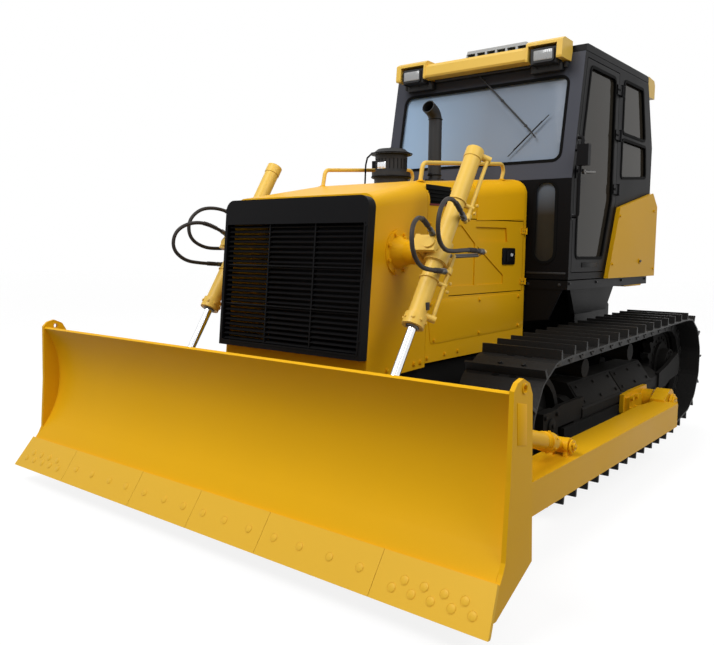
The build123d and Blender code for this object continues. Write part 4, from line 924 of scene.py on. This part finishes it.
class DOZER_OT_hood(DozerOperator, bpy.types.Operator):
    """Latches, louvres, lids and bolts of the hood and its guard"""
    bl_idname = "dozer.hood"
    bl_label = "Hood fittings"

    def build(self, paint, sizes):
        out = LEFT
        self.lids()
        # lower covers with a rounded front corner, and the bolts round them
        covers = bmesh.new()
        loop = rounded_loop([hood_side(*corner, -0.0015) for corner in (
            (-0.148, 1.196), (1.136, 1.196), (1.128, 1.100), (1.098, 0.930), (-0.148, 0.944))], 0.030, 5)
        add_plate(covers, loop, out, 0.005, 0.0015)
        for x, z in ((0.510, 1.176), (1.062, 0.952), (0.510, 0.958), (-0.060, 0.966), (1.105, 1.172),
                     (-0.060, 1.176)):
            add_bolt(covers, hood_side(x, z, 0.0035), out, sizes.cover_bolt)
        # bolts below the covers, along the guard's foot and down both sides of the guard's seam
        for x, z in ((0.774, 0.860), (0.930, 0.858), (0.300, 0.860), (1.129, 0.850)):
            add_bolt(covers, hood_side(x, z), out, sizes.cover_bolt)
        for x in (1.212, 1.290, 1.440, 1.600):
            add_bolt(covers, (x, hood_half(x), 0.836), (-0.1, 1, 0), 0.013)
        for x, z in ((1.185, 1.300), (1.185, 1.650), (1.120, 1.300), (1.120, 1.650)):
            add_bolt(covers, hood_side(x, z), out, 0.009)
        # grease points of the lift cylinders' shafts
        add_disc(covers, (LIFT_PIVOT[0], 0.560, LIFT_PIVOT[1] + 0.070), (0, 0.4, 1), 0.010, 0.018, 6, 0.002)
        mirror_across(covers)
        put("hood_covers", covers, "machine", "yellow_paint")
        self.door_gap_shades()
        self.slots()
        self.latches()
        self.grille_trim()
        self.top()

    def lids(self):
        """Blank lid over each shoulder, following the hood's skin."""
        shape = bmesh.new()
        chains = []
        for x in (-0.112, 0.570):
            half, radius = hood_half(x), 0.110 + 0.010 * hood_share(x)
            centre = Vector((x, half - radius, hood_top(x) - radius))
            points = [Vector((x, half, 1.722 - 0.030 * (x + 0.112) / 0.68)), Vector((x, half, 1.78))]
            points += [centre + Vector((0, math.cos(angle), math.sin(angle))) * radius
                       for angle in (math.radians(7.5 * k) for k in range(13))]
            verts = [shape.verts.new(point) for point in points]
            chains += [shape.edges.new(pair) for pair in zip(verts, verts[1:])]
        faces = bmesh.ops.bridge_loops(shape, edges=chains)["faces"]
        bmesh.ops.recalc_face_normals(shape, faces=faces)
        if faces[0].normal.y < 0:
            bmesh.ops.reverse_faces(shape, faces=faces)
        bmesh.ops.solidify(shape, geom=faces, thickness=-0.004)
        mirror_across(shape)
        put("hood_lids", shape, "machine", "bright_yellow", 40)

    def door_gap_shades(self):
        """Strips inside the hood, behind the gaps round the engine doors, near-black as painted shade in the
        gaps.
        """
        shape = bmesh.new()
        for x0, z0, x1, z1 in ((-0.140, 1.190, 0.930, 1.232), (-0.140, 1.680, 0.930, 1.728),
                               (-0.140, 1.190, -0.096, 1.728), (0.880, 1.190, 0.930, 1.728)):
            add_block(shape, (x0, 0.434, z0), (x1, 0.442, z1), 0.002)
        mirror_across(shape)
        put("door_strips", shape, "machine", "shadow_black")

    def slots(self):
        """Louvres behind the hood's air slots on a near-black plate that is painted shade inside the slots,
        with a red lip below.
        """
        dark, red = bmesh.new(), bmesh.new()
        # painted shade: a near-black plate fills the inside of each slot behind the louvres
        add_block(dark, (0.862, 0.452, 1.758), (1.140, 0.458, 1.882), 0.001)
        for z in (1.786, 1.808, 1.830, 1.852):
            add_block(dark, (0.866, 0.455, z), (1.136, 0.467, z + 0.005), 0.001, Matrix.Rotation(0.5, 4, "X"))
        mirror_across(dark)
        put("slot_louvres", dark, "machine", "shadow_black")
        add_plate(red, [(0.868, 0.4765, 1.765), (1.134, 0.4775, 1.757), (1.134, 0.4775, 1.768),
                        (0.868, 0.4765, 1.776)], LEFT, 0.002, 0.0006)
        mirror_across(red)
        put("slot_lips", red, "machine", "red_lip")

    def latches(self):
        """Paddle latch and hinge screws on each engine door."""
        for side, sign in SIDES:
            dark, chrome, screws = bmesh.new(), bmesh.new(), bmesh.new()
            outline = ((0.018, 1.402), (0.204, 1.402), (0.204, 1.518), (0.018, 1.518))
            corners = [(x, DOOR_FACE, z) for x, z in outline]
            add_plate(dark, rounded_loop(corners, 0.014, 4), LEFT, 0.008, 0.002)
            add_block(dark, (0.034, 0.478, 1.420), (0.150, 0.487, 1.500), 0.006)
            add_block(dark, (0.158, 0.480, 1.420), (0.192, 0.484, 1.500), 0.003)
            add_disc(chrome, (0.088, 0.486, 1.470), LEFT, 0.013, 0.004, 24, 0.001)
            add_ring(chrome, (0.088, 0.489, 1.470), LEFT, 0.013, 0.0022, 24, 6)
            add_block(chrome, (0.0865, 0.489, 1.463), (0.0895, 0.4915, 1.477), 0.0005)
            for z in (1.280, 1.640):
                for x in (-0.122, -0.094):
                    add_disc(screws, (x, 0.479, z), LEFT, 0.0045, 0.003, 12, 0.001)
            to_side(sign, dark, chrome, screws)
            body = f"hood_door_{side}_body"
            put(f"door_latch_{side}", dark, body, "black_paint")
            put(f"door_lock_{side}", chrome, body, "rod_chrome")
            put(f"hinge_screws_{side}", screws, body, "fitting_steel")

    def grille_trim(self):
        """Bolts, cross bars and a raised lip of the leaning grille."""
        sine, cosine = math.sin(math.radians(4.67)), math.cos(math.radians(4.67))
        # across the grille, up its slope and out of it
        lean = Matrix(((0, -sine, cosine, 0), (1, 0, 0, 0), (0, cosine, sine, 0), (0, 0, 0, 1)))
        place = Matrix.Translation((1.866, 0, 0.919)) @ lean
        out = place.to_3x3().col[2]
        shape = bmesh.new()
        outline = ((-0.522, 0.028), (0.522, 0.028), (0.522, 0.720), (-0.522, 0.720))
        corners = [place @ Vector((y, up, 0.0)) for y, up in outline]
        add_seal(shape, corners, 0.012, out, 0.006, 0.004, 0.003)
        for y in (-0.532, 0.532):
            for z in (0.10, 0.42, 0.70):
                add_disc(shape, place @ Vector((y, z, 0)), out, 0.006, 0.003, 16, 0.001)
        for up in (0.250, 0.480):
            middle, half = place @ Vector((0, up, -0.012)), Vector((0.004, 0.520, 0.004))
            add_block(shape, middle - half, middle + half, 0.001)
        put("grille_trim", shape, "machine", "black_paint")

    def top(self):
        """Clamps of the exhaust and the pre-cleaner, its bail and windows, and the rails' feet."""
        shape = bmesh.new()
        # exhaust: clamps and the bolts of its foot
        for z, radius, thickness in ((2.030, 0.0485, 0.005), (2.420, 0.0480, 0.004)):
            add_ring(shape, (*STACK, z), UP, radius, thickness, 40, 8)
        add_block(shape, (0.330, -0.052, 2.020), (0.352, -0.028, 2.040), 0.003)
        for dx, dy in circle(6, 0.058):
            add_bolt(shape, (STACK[0] + dx, STACK[1] + dy, 1.996), UP, 0.007)
        # pre-cleaner: beads, vanes of its screen and the nut on top
        for z, radius, thickness in ((1.998, 0.1345, 0.006), (2.150, 0.112, 0.004), (2.157, 0.143, 0.004)):
            add_ring(shape, (*CLEANER, z), UP, radius, thickness, 48, 8)
        for dx, dy in circle(24):
            foot = Vector((*CLEANER, 2.050)) + Vector((dx, dy, 0)) * 0.109
            half = Vector((0.002, 0.002, 0))
            add_block(shape, foot - half, foot + half + Vector((0, 0, 0.068)), 0.0,
                      Matrix.Rotation(math.atan2(dy, dx), 4, "Z"))
        add_disc(shape, (*CLEANER, 2.180), UP, 0.018, 0.022, 6, 0.003)
        put("stack_clamps", shape, "machine", "black_paint")
        bail = bmesh.new()
        points = [(0.600, -0.360, 2.176), (0.654, -0.362, 2.135), (0.671, -0.362, 2.086),
                  (0.680, -0.360, 1.945)]
        for start, end in zip(points, points[1:]):
            add_rod(bail, start, end, 0.006, 12)
            bmesh.ops.create_uvsphere(bail, u_segments=12, v_segments=8, radius=0.006,
                                      matrix=Matrix.Translation(end))
        add_disc(bail, (0.680, -0.360, 1.930), UP, 0.014, 0.012, 6, 0.002)
        put("intake_pipe", bail, "machine", "black_paint")
        window = bmesh.new()
        add_block(window, (0.692, -0.238, 2.048), (0.702, -0.168, 2.094), 0.004)
        for y in (-0.226, -0.203, -0.180):
            add_block(window, (0.700, y - 0.008, 2.054), (0.704, y + 0.008, 2.088), 0.001)
        put("dust_windows", window, "machine", "rod_chrome")
        feet = bmesh.new()
        for x, z in ((1.102, 1.902), (0.078, 1.990)):
            add_disc(feet, (x, 0.385, z), (0.08, 0, 1), 0.028, 0.006, 28, 0.002)
            add_disc(feet, (x, 0.385, z + 0.005), (0.08, 0, 1), 0.017, 0.006, 28, 0.002)
        mirror_across(feet)
        put("rail_feet", feet, "machine", "yellow_paint")


# ---- fittings of the cab ------------------------------------------------------------------
SCREEN_LEAN = math.atan2(0.165, 0.888)
SCREEN_OUT = Vector((math.cos(SCREEN_LEAN), 0, math.sin(SCREEN_LEAN)))
SCREEN_UP = Vector((-math.sin(SCREEN_LEAN), 0, math.cos(SCREEN_LEAN)))
SIDE_WINDOWS = (((-1.130, 2.430), (-1.130, 2.840), (-1.580, 2.846), (-1.690, 2.430)),
                ((-1.130, 2.080), (-1.130, 2.390), (-1.700, 2.390), (-1.740, 2.130)))
DOOR_WINDOW = ((-0.275, 1.450), (-0.275, 2.005), (-0.437, 2.815), (-0.940, 2.821), (-0.950, 1.900),
               (-0.790, 1.450))
CAB_FACE = 0.800
# Seals: how far they reach past the opening's edge, and how proud they stand
SEAL_REACH, SEAL_DEPTH = 0.008, 0.005


def on_screen(y, up, proud=0.0):
    """Point on the leaning windscreen: across, up its slope from its foot line, and proud of it."""
    return Vector((-0.165, y, 2.012)) + SCREEN_UP * up + SCREEN_OUT * proud


def box_loop(centre, wide, high, across, up):
    """Corners of a rectangle."""
    return [Vector(centre) + across * wide * sx / 2 + up * high * sy / 2
            for sx, sy in ((-1, -1), (1, -1), (1, 1), (-1, 1))]


class DOZER_OT_cab(DozerOperator, bpy.types.Operator):
    """Seals, wiper, lamps, levers, bolts and mirror glasses of the cab"""
    bl_idname = "dozer.cab"
    bl_label = "Cab fittings"

    def build(self, paint, sizes):
        fit = (SEAL_REACH, sizes.seal, SEAL_DEPTH)
        seals = bmesh.new()
        screen = box_loop(on_screen(0, 0.432), 1.400, 0.615, LEFT, SCREEN_UP)
        add_seal(seals, screen, 0.062, SCREEN_OUT, 0.007, sizes.seal, SEAL_DEPTH)
        add_seal(seals, box_loop((-1.880, 0, 2.180), 1.260, 0.420, LEFT, UP), 0.060, -AHEAD, *fit)
        sides = bmesh.new()
        add_seal(sides, box_loop((-0.165, 0.612, 1.705), 0.168, 0.580, LEFT, UP), 0.078, AHEAD, *fit)
        for window in SIDE_WINDOWS:
            add_seal(sides, [Vector((x, CAB_FACE, z)) for x, z in window], 0.035, LEFT, *fit)
        mirror_across(sides)
        put("window_seals", seals, "machine", "shadow_black", 40)
        put("side_seals", sides, "machine", "shadow_black", 40)
        for side, sign in SIDES:
            self.door(side, sign, fit)
        self.wiper()
        self.lamps()
        self.trim()

    def door(self, side, sign, fit):
        """Seal and lever of one door, with its hinge bolts."""
        rubber, chrome, dark = bmesh.new(), bmesh.new(), bmesh.new()
        add_seal(rubber, [Vector((x, CAB_FACE, z)) for x, z in DOOR_WINDOW], 0.045, LEFT, *fit)
        add_rod(chrome, (-0.258, 0.852, 2.054), (-0.445, 0.852, 2.068), 0.008, 16)
        add_disc(chrome, (-0.252, 0.838, 2.054), LEFT, 0.017, 0.020, 24, 0.003)
        add_block(dark, (-0.262, 0.800, 2.010), (-0.222, 0.806, 2.096), 0.002)
        for z in (1.985, 2.400, 2.740):
            for x in (-0.992, -0.966):
                add_bolt(dark, (x, 0.814, z), LEFT, 0.007)
            for end in (-0.042, 0.042):
                add_disc(dark, (-1.050, 0.813, z + end - 0.003), UP, 0.014, 0.006, 20, 0.001)
        add_block(dark, (-0.700, 0.799, 1.385), (-0.400, 0.804, 1.420), 0.002)
        to_side(sign, rubber, chrome, dark)
        body = f"cab_door_{side}_body"
        put(f"door_seal_{side}", rubber, body, "shadow_black", 40)
        put(f"door_lever_{side}", chrome, body, "fitting_steel")
        put(f"door_hinge_bolts_{side}", dark, body, "black_paint")

    def wiper(self):
        """Wiper hung from the top of the windscreen."""
        shape = bmesh.new()
        pivot = on_screen(-0.050, 0.853, 0.022)
        joint = on_screen(0.450, 0.359, 0.020)
        tip = on_screen(0.499, 0.302, 0.018)
        add_block(shape, pivot - Vector((0.030, 0.045, 0.035)), pivot + Vector((0.010, 0.045, 0.035)), 0.008)
        add_disc(shape, pivot, SCREEN_OUT, 0.018, 0.016, 24, 0.003)
        add_rod(shape, pivot, joint, 0.0065, 10)
        add_rod(shape, joint, tip, 0.0045, 10)
        for share in (0.18, 0.5, 0.93):
            spot = pivot.lerp(joint, share) - SCREEN_OUT * 0.006
            add_disc(shape, spot, SCREEN_OUT, 0.010, 0.016, 16, 0.002)
        low, high = on_screen(0.290, 0.178, 0.006), on_screen(0.578, 0.463, 0.006)
        add_rod(shape, low, high, 0.0035, 8)
        for share in (0.15, 0.40, 0.60, 0.85):
            spot = low.lerp(high, share)
            add_rod(shape, spot, spot.lerp(joint, 0.1) + SCREEN_OUT * 0.008, 0.004, 8)
        rise = SCREEN_OUT * 0.008
        add_rod(shape, low.lerp(high, 0.15) + rise, low.lerp(high, 0.85) + rise, 0.003, 8)
        put("wiper", shape, "machine", "dark_plastic")

    def lamps(self):
        """Bezels and ribbed lenses of the lamps, and the dark boxes below the visor."""
        bezel, lens, boxes = bmesh.new(), bmesh.new(), bmesh.new()
        rim = box_loop((-0.164, 0.556, 2.870), 0.146, 0.078, LEFT, UP)
        add_seal(bezel, rim, 0.014, AHEAD, 0.010, 0.003, 0.008)
        add_block(bezel, (-0.285, 0.455, 2.812), (-0.172, 0.462, 2.924), 0.002)
        add_block(bezel, (-0.285, 0.638, 2.812), (-0.172, 0.645, 2.924), 0.002)
        add_block(lens, (-0.168, 0.484, 2.834), (-0.153, 0.628, 2.906), 0.012)
        for k in range(9):
            rib = 0.500 + 0.014 * k
            add_rod(lens, (-0.153, rib, 2.840), (-0.153, rib, 2.900), 0.0022, 8)
        add_block(boxes, (-0.318, 0.420, 2.772), (-0.250, 0.660, 2.832), 0.010)
        add_block(boxes, (-0.300, 0.668, 2.790), (-0.262, 0.690, 2.832), 0.005)
        for y in (0.470, 0.550, 0.630):
            add_disc(boxes, (-0.251, y, 2.802), AHEAD, 0.008, 0.004, 16, 0.001)
        for shape in (bezel, lens, boxes):
            mirror_across(shape)
        add_block(boxes, (-0.318, -0.410, 2.822), (-0.268, 0.410, 2.846), 0.006)
        rear = bmesh.new()
        add_block(rear, (-1.932, 0.528, 2.848), (-1.924, 0.632, 2.912), 0.003)
        mirror_across(rear)
        put("lamp_bezels", bezel, "machine", "dark_plastic")
        put("lamp_lenses", lens, "machine", "lamp_lens")
        put("visor_boxes", boxes, "machine", "dark_plastic")
        put("rear_lamp_lenses", rear, "machine", "lamp_lens")

    def trim(self):
        """Mirror glasses, clamps, vent cells, and the bolts and latches of cab and side boxes."""
        glass, dark, yellow = bmesh.new(), bmesh.new(), bmesh.new()
        add_block(glass, (-0.181, 0.850, 2.094), (-0.177, 0.914, 2.219), 0.002)
        mirror_across(glass)
        put("mirror_glasses", glass, "machine", "rod_chrome")
        for z in (1.740, 2.290):
            add_disc(dark, (-0.190 if z < 2 else -0.240, 0.798, z), LEFT, 0.022, 0.006, 24, 0.002)
        for x in (-0.190, -0.700, -1.250, -1.840):
            add_bolt(dark, (x, 0.800, 1.272), LEFT, 0.010)
        for y in (0.20, 0.50, 0.74):
            add_bolt(dark, (-0.160, y, 1.262), AHEAD, 0.010)
        add_block(dark, (-0.172, 0.478, 1.335), (-0.162, 0.780, 1.350), 0.003)
        for x in (-0.62, -0.72, -0.82, -0.92, -1.02):
            add_block(dark, (x - 0.03, 0.200, 3.0845), (x + 0.03, 0.215, 3.0875), 0.001)
        mirror_across(dark)
        for k in range(6):
            y = 0.088 * (k - 2.5)
            add_block(dark, (-0.566, y - 0.034, 3.0225), (-0.556, y + 0.034, 3.0615), 0.0)
            for z in (3.034, 3.048):
                add_block(dark, (-0.540, y - 0.035, z), (-0.520, y + 0.035, z + 0.002), 0.0)
        put("cab_bolts", dark, "machine", "dark_plastic")
        for x, z in ((-1.054, 1.782), (-0.923, 1.406), (-1.900, 1.860), (-1.940, 1.360)):
            add_bolt(yellow, (x, 0.836, z), LEFT, 0.010)
        add_block(yellow, (-1.585, 0.834, 1.405), (-1.545, 0.842, 1.449), 0.003)
        mirror_across(yellow)
        put("side_cover_bolts", yellow, "machine", "yellow_paint")
        handle = bmesh.new()
        add_disc(handle, (-1.565, 0.841, 1.427), LEFT, 0.011, 0.008, 20, 0.002)
        add_block(handle, (-1.590, 0.846, 1.423), (-1.540, 0.852, 1.431), 0.002)
        mirror_across(handle)
        put("side_cover_latches", handle, "machine", "dark_plastic")


# ---- inside and behind --------------------------------------------------------------------
def add_cushion(shape, centre, size, turn, crown, cuts=7):
    """Padded form: faces bulge to a crown and the edges are round."""
    before = len(shape.verts)
    made = bmesh.ops.create_cube(shape, size=1)["verts"]
    bmesh.ops.subdivide_edges(shape, edges=edges_of(made), cuts=cuts, use_grid_fill=True)
    shape.verts.ensure_lookup_table()
    fresh = shape.verts[before:]
    for vert in fresh:
        x, y, z = vert.co
        swell = (1 - 4 * x * x) * (1 - 4 * y * y) if abs(z) > 0.49 else 0.0
        lift = math.copysign(crown / size[2] * swell, z) if swell else 0.0
        corner = (2 * abs(x)) ** 8 + (2 * abs(y)) ** 8 + (2 * abs(z)) ** 8
        round_off = 1.0 if corner <= 1.0 else corner ** -0.125
        vert.co = Vector((x * round_off, y * round_off, z * round_off + lift))
    place = Matrix.Translation(centre) @ turn @ Matrix.Diagonal((*size, 1))
    bmesh.ops.transform(shape, matrix=place, verts=fresh)


class DOZER_OT_seat(DozerOperator, bpy.types.Operator):
    """Operator's seat, the console's gauges and levers, and rear fittings"""
    bl_idname = "dozer.seat"
    bl_label = "Seat and rear fittings"

    def build(self, paint, sizes):
        upright = Matrix.Rotation(math.radians(-10.5), 4, "Y")
        level = Matrix.Rotation(math.radians(-2.8), 4, "Y")
        cushion, back, base = bmesh.new(), bmesh.new(), bmesh.new()
        centre = (-0.998, 0, 1.608)
        deep, wide, thick = 0.575, 0.530, 0.092
        add_cushion(cushion, centre, (deep, wide, thick), level, 0.016)
        add_cushion(back, (-1.282, 0, 1.938), (0.098, 0.490, 0.560), upright, 0.010)
        # piping along the cushion's sides
        place = Matrix.Translation(centre) @ level
        half, edge = deep / 2 - 0.03, wide / 2 - 0.002
        for side in (-edge, edge):
            start, end = place @ Vector((-half, side, 0.03)), place @ Vector((half, side, 0.03))
            add_rod(cushion, start, end, 0.004, 8)
        for y in (-0.340, 0.340):
            add_block(base, (-1.235, y - 0.030, 1.340), (-0.810, y + 0.030, 1.770), 0.012)
        add_block(base, (-1.236, -0.225, 1.336), (-0.804, 0.225, 1.480), 0.012)
        for x in (-1.200, -0.840):
            add_block(base, (x - 0.015, -0.220, 1.480), (x + 0.015, 0.220, 1.562), 0.004)
        add_block(base, (-1.270, -0.235, 1.552), (-0.735, 0.235, 1.568), 0.006)
        for side, sign in SIDES:
            rest = bmesh.new()
            add_cushion(rest, (-1.020, sign * 0.340, 1.797), (0.425, 0.078, 0.052), Matrix.Identity(4), 0.005)
            put(f"arm_rest_{side}", rest, "machine", "seat_fabric", 60)
        seat = put("seat_cushion", cushion, "machine", "seat_fabric", 60)
        rest = put("seat_back", back, "machine", "seat_fabric", 60)
        put("seat_base", base, "machine", "dark_plastic")
        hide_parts("operator_seat")
        self.console()
        self.rear()

    def console(self):
        """Gauges on the console's slope, lever knobs, pedals and switches."""
        dark, pale = bmesh.new(), bmesh.new()
        slope = Vector((-0.932, 0, 0.363))
        for y in (-0.225, -0.105, 0.105, 0.225):
            spot = Vector((-0.434, y, 1.792))
            add_ring(dark, spot, slope, 0.036, 0.005, 28, 8)
            add_disc(pale, spot, slope, 0.032, 0.002, 28)
        # switches in two columns up the slope
        for y in (-0.02, 0.02):
            for z in (1.740, 1.790, 1.840):
                x = -0.470 + (z - 1.700) * 0.389
                add_block(dark, (x - 0.006, y - 0.012, z - 0.010), (x + 0.002, y + 0.012, z + 0.010), 0.002)
        # knobs of the levers and the boots at their feet
        for y in (-0.150, -0.060, 0.060, 0.150):
            made = bmesh.ops.create_uvsphere(dark, u_segments=16, v_segments=10, radius=0.018,
                                             matrix=Matrix.Translation((-0.520, y, 1.990))
                                             @ Matrix.Diagonal((1, 1, 1.35, 1)))["verts"]
            bmesh.ops.smooth_vert(dark, verts=made, factor=0.2, use_axis_x=True, use_axis_y=True,
                                  use_axis_z=True)
            add_ring(dark, (-0.432, y, 1.786), (-0.39, 0, 0.92), 0.016, 0.005, 20, 8)
        for y in (-0.18, 0.18):
            add_block(dark, (-0.560, y - 0.045, 1.360), (-0.440, y + 0.045, 1.372), 0.004,
                      Matrix.Rotation(0.5, 4, "Y"))
        put("console_fittings", dark, "machine", "dark_plastic")
        put("gauge_dials", pale, "machine", "vent_grey")

    def rear(self):
        """Cap, straps and steps of the fuel tank, and the bolts of the rear case and the drawbar."""
        cap, straps = bmesh.new(), bmesh.new()
        x, y = -2.150, 0.380
        add_disc(cap, (x, y, 1.790), UP, 0.064, 0.022, 36, 0.005)
        for dx, dy in circle(12, 0.064):
            add_disc(cap, (x + dx, y + dy, 1.792), UP, 0.006, 0.018, 10, 0.001)
        add_disc(cap, (x, y, 1.811), UP, 0.020, 0.010, 6, 0.002)
        for y in (-0.42, 0.42):
            add_block(straps, (-2.408, y - 0.030, 1.250), (-2.399, y + 0.030, 1.600), 0.002)
            for z in (1.290, 1.560):
                add_bolt(straps, (-2.408, y, z), -AHEAD, 0.011)
        for z in (1.230, 1.420):
            add_block(straps, (-2.425, -0.16, z), (-2.399, 0.16, z + 0.022), 0.004)
        for y, z in ((-0.30, 0.56), (0.30, 0.56), (-0.30, 0.95), (0.30, 0.95), (-0.34, 0.76), (0.34, 0.76)):
            add_bolt(straps, (-2.120, y, z), -AHEAD, 0.014)
        for y in (-0.22, 0.22):
            for z in (0.510, 0.730):
                add_bolt(straps, (-2.160, y, z), -AHEAD, 0.016)
        put("tank_cap", cap, "machine", "black_paint")
        put("tank_straps", straps, "machine", "yellow_paint")


# ---- studio -------------------------------------------------------------------------------
FLOOR_GLOW, SURROUND, SURROUND_SEEN = 0.86, 0.33, 0.67


def seen_rays(tree):
    """1 for rays from the camera, straight or by way of metal or glass."""
    path = tree.nodes.new("ShaderNodeLightPath")
    seen = math_node(tree, "MAXIMUM", path.outputs["Is Camera Ray"], path.outputs["Is Glossy Ray"])
    return math_node(tree, "MAXIMUM", seen, path.outputs["Is Transmission Ray"])


class DOZER_OT_studio(DozerOperator, bpy.types.Operator):
    """Floor, backdrop light and lamps"""
    bl_idname = "dozer.studio"
    bl_label = "Studio"

    def build(self, paint, sizes):
        shape = bmesh.new()
        bmesh.ops.create_grid(shape, x_segments=1, y_segments=1, size=40)
        mesh = bpy.data.meshes.new("floor")
        shape.to_mesh(mesh)
        shape.free()
        floor = bpy.data.objects.new("floor", mesh)
        bpy.context.scene.collection.objects.link(floor)
        tree, shader = new_material("studio_floor")
        shader.inputs["Base Color"].default_value = (*paint.floor, 1)
        shader.inputs["Roughness"].default_value = 0.9
        # the floor glows only where it is seen, so it looks white and still keeps the shadow
        white = tree.nodes.new("ShaderNodeEmission")
        white.inputs["Strength"].default_value = FLOOR_GLOW
        mix = tree.nodes.new("ShaderNodeMixShader")
        add = tree.nodes.new("ShaderNodeAddShader")
        tree.links.new(seen_rays(tree), mix.inputs[0])
        tree.links.new(shader.outputs[0], add.inputs[0])
        tree.links.new(white.outputs[0], add.inputs[1])
        tree.links.new(shader.outputs[0], mix.inputs[1])
        tree.links.new(add.outputs[0], mix.inputs[2])
        tree.links.new(mix.outputs[0], tree.nodes["Material Output"].inputs["Surface"])
        mesh.materials.append(finish_named("studio_floor"))
        self.surround()
        self.lamps()
        bpy.context.scene.view_settings.view_transform = "Standard"

    def surround(self):
        """Plain white world, at full strength only where it is seen."""
        world = bpy.data.worlds.new("studio_world")
        bpy.context.scene.world = world
        world.use_nodes = True
        tree = world.node_tree
        background = tree.nodes["Background"]
        background.inputs["Color"].default_value = (1, 1, 1, 1)
        extra = math_node(tree, "MULTIPLY", seen_rays(tree), SURROUND_SEEN)
        strength = math_node(tree, "ADD", extra, SURROUND)
        tree.links.new(strength, background.inputs["Strength"])

    def lamps(self):
        """Soft lamps in front, to the left and behind."""
        # name, place, aim, width, power
        for name, place, aim, size, power in (
                ("key_lamp", (6.5, -1.0, 8.0), (0.6, 0.2, 0.8), 4.0, 540),
                ("fill_lamp", (1.5, 6.0, 7.0), (0.0, 0, 1.0), 5.0, 300),
                ("rear_lamp", (-7.0, -2.0, 5.5), (-0.5, 0, 1.5), 4.0, 150)):
            data = bpy.data.lights.new(name, "AREA")
            data.size, data.energy = size, power
            lamp = bpy.data.objects.new(name, data)
            bpy.context.scene.collection.objects.link(lamp)
            turn = (Vector(aim) - Vector(place)).to_track_quat("-Z", "Y")
            lamp.matrix_world = Matrix.Translation(place) @ turn.to_matrix().to_4x4()


OPERATORS = (DOZER_OT_camera, DOZER_OT_finishes, DOZER_OT_hoses, DOZER_OT_tracks, DOZER_OT_blade,
             DOZER_OT_cylinders, DOZER_OT_hood, DOZER_OT_cab, DOZER_OT_seat, DOZER_OT_studio)


class DOZER_PT_panel(bpy.types.Panel):
    """Settings of the bulldozer and the steps that build it."""
    bl_label = "Bulldozer"
    bl_idname = "DOZER_PT_panel"
    bl_space_type = "VIEW_3D"
    bl_region_type = "UI"
    bl_category = "Bulldozer"

    def draw(self, context):
        for group in (context.scene.dozer_paint, context.scene.dozer_sizes, context.scene.dozer_view):
            box = self.layout.box()
            for name in group.bl_rna.properties.keys():
                if name not in ("rna_type", "name"):
                    box.prop(group, name)
        for operator in OPERATORS:
            self.layout.operator(operator.bl_idname)


CLASSES = (DozerPaint, DozerSizes, DozerView, *OPERATORS, DOZER_PT_panel)


def register():
    for item in CLASSES:
        bpy.utils.register_class(item)
    bpy.types.Scene.dozer_paint = PointerProperty(type=DozerPaint)
    bpy.types.Scene.dozer_sizes = PointerProperty(type=DozerSizes)
    bpy.types.Scene.dozer_view = PointerProperty(type=DozerView)


def unregister():
    del bpy.types.Scene.dozer_view
    del bpy.types.Scene.dozer_sizes
    del bpy.types.Scene.dozer_paint
    for item in reversed(CLASSES):
        bpy.utils.unregister_class(item)


def main():
    register()
    for operator in OPERATORS:
        group, name = operator.bl_idname.split(".")
        getattr(getattr(bpy.ops, group), name)()


if __name__ == "__main__":
    main()
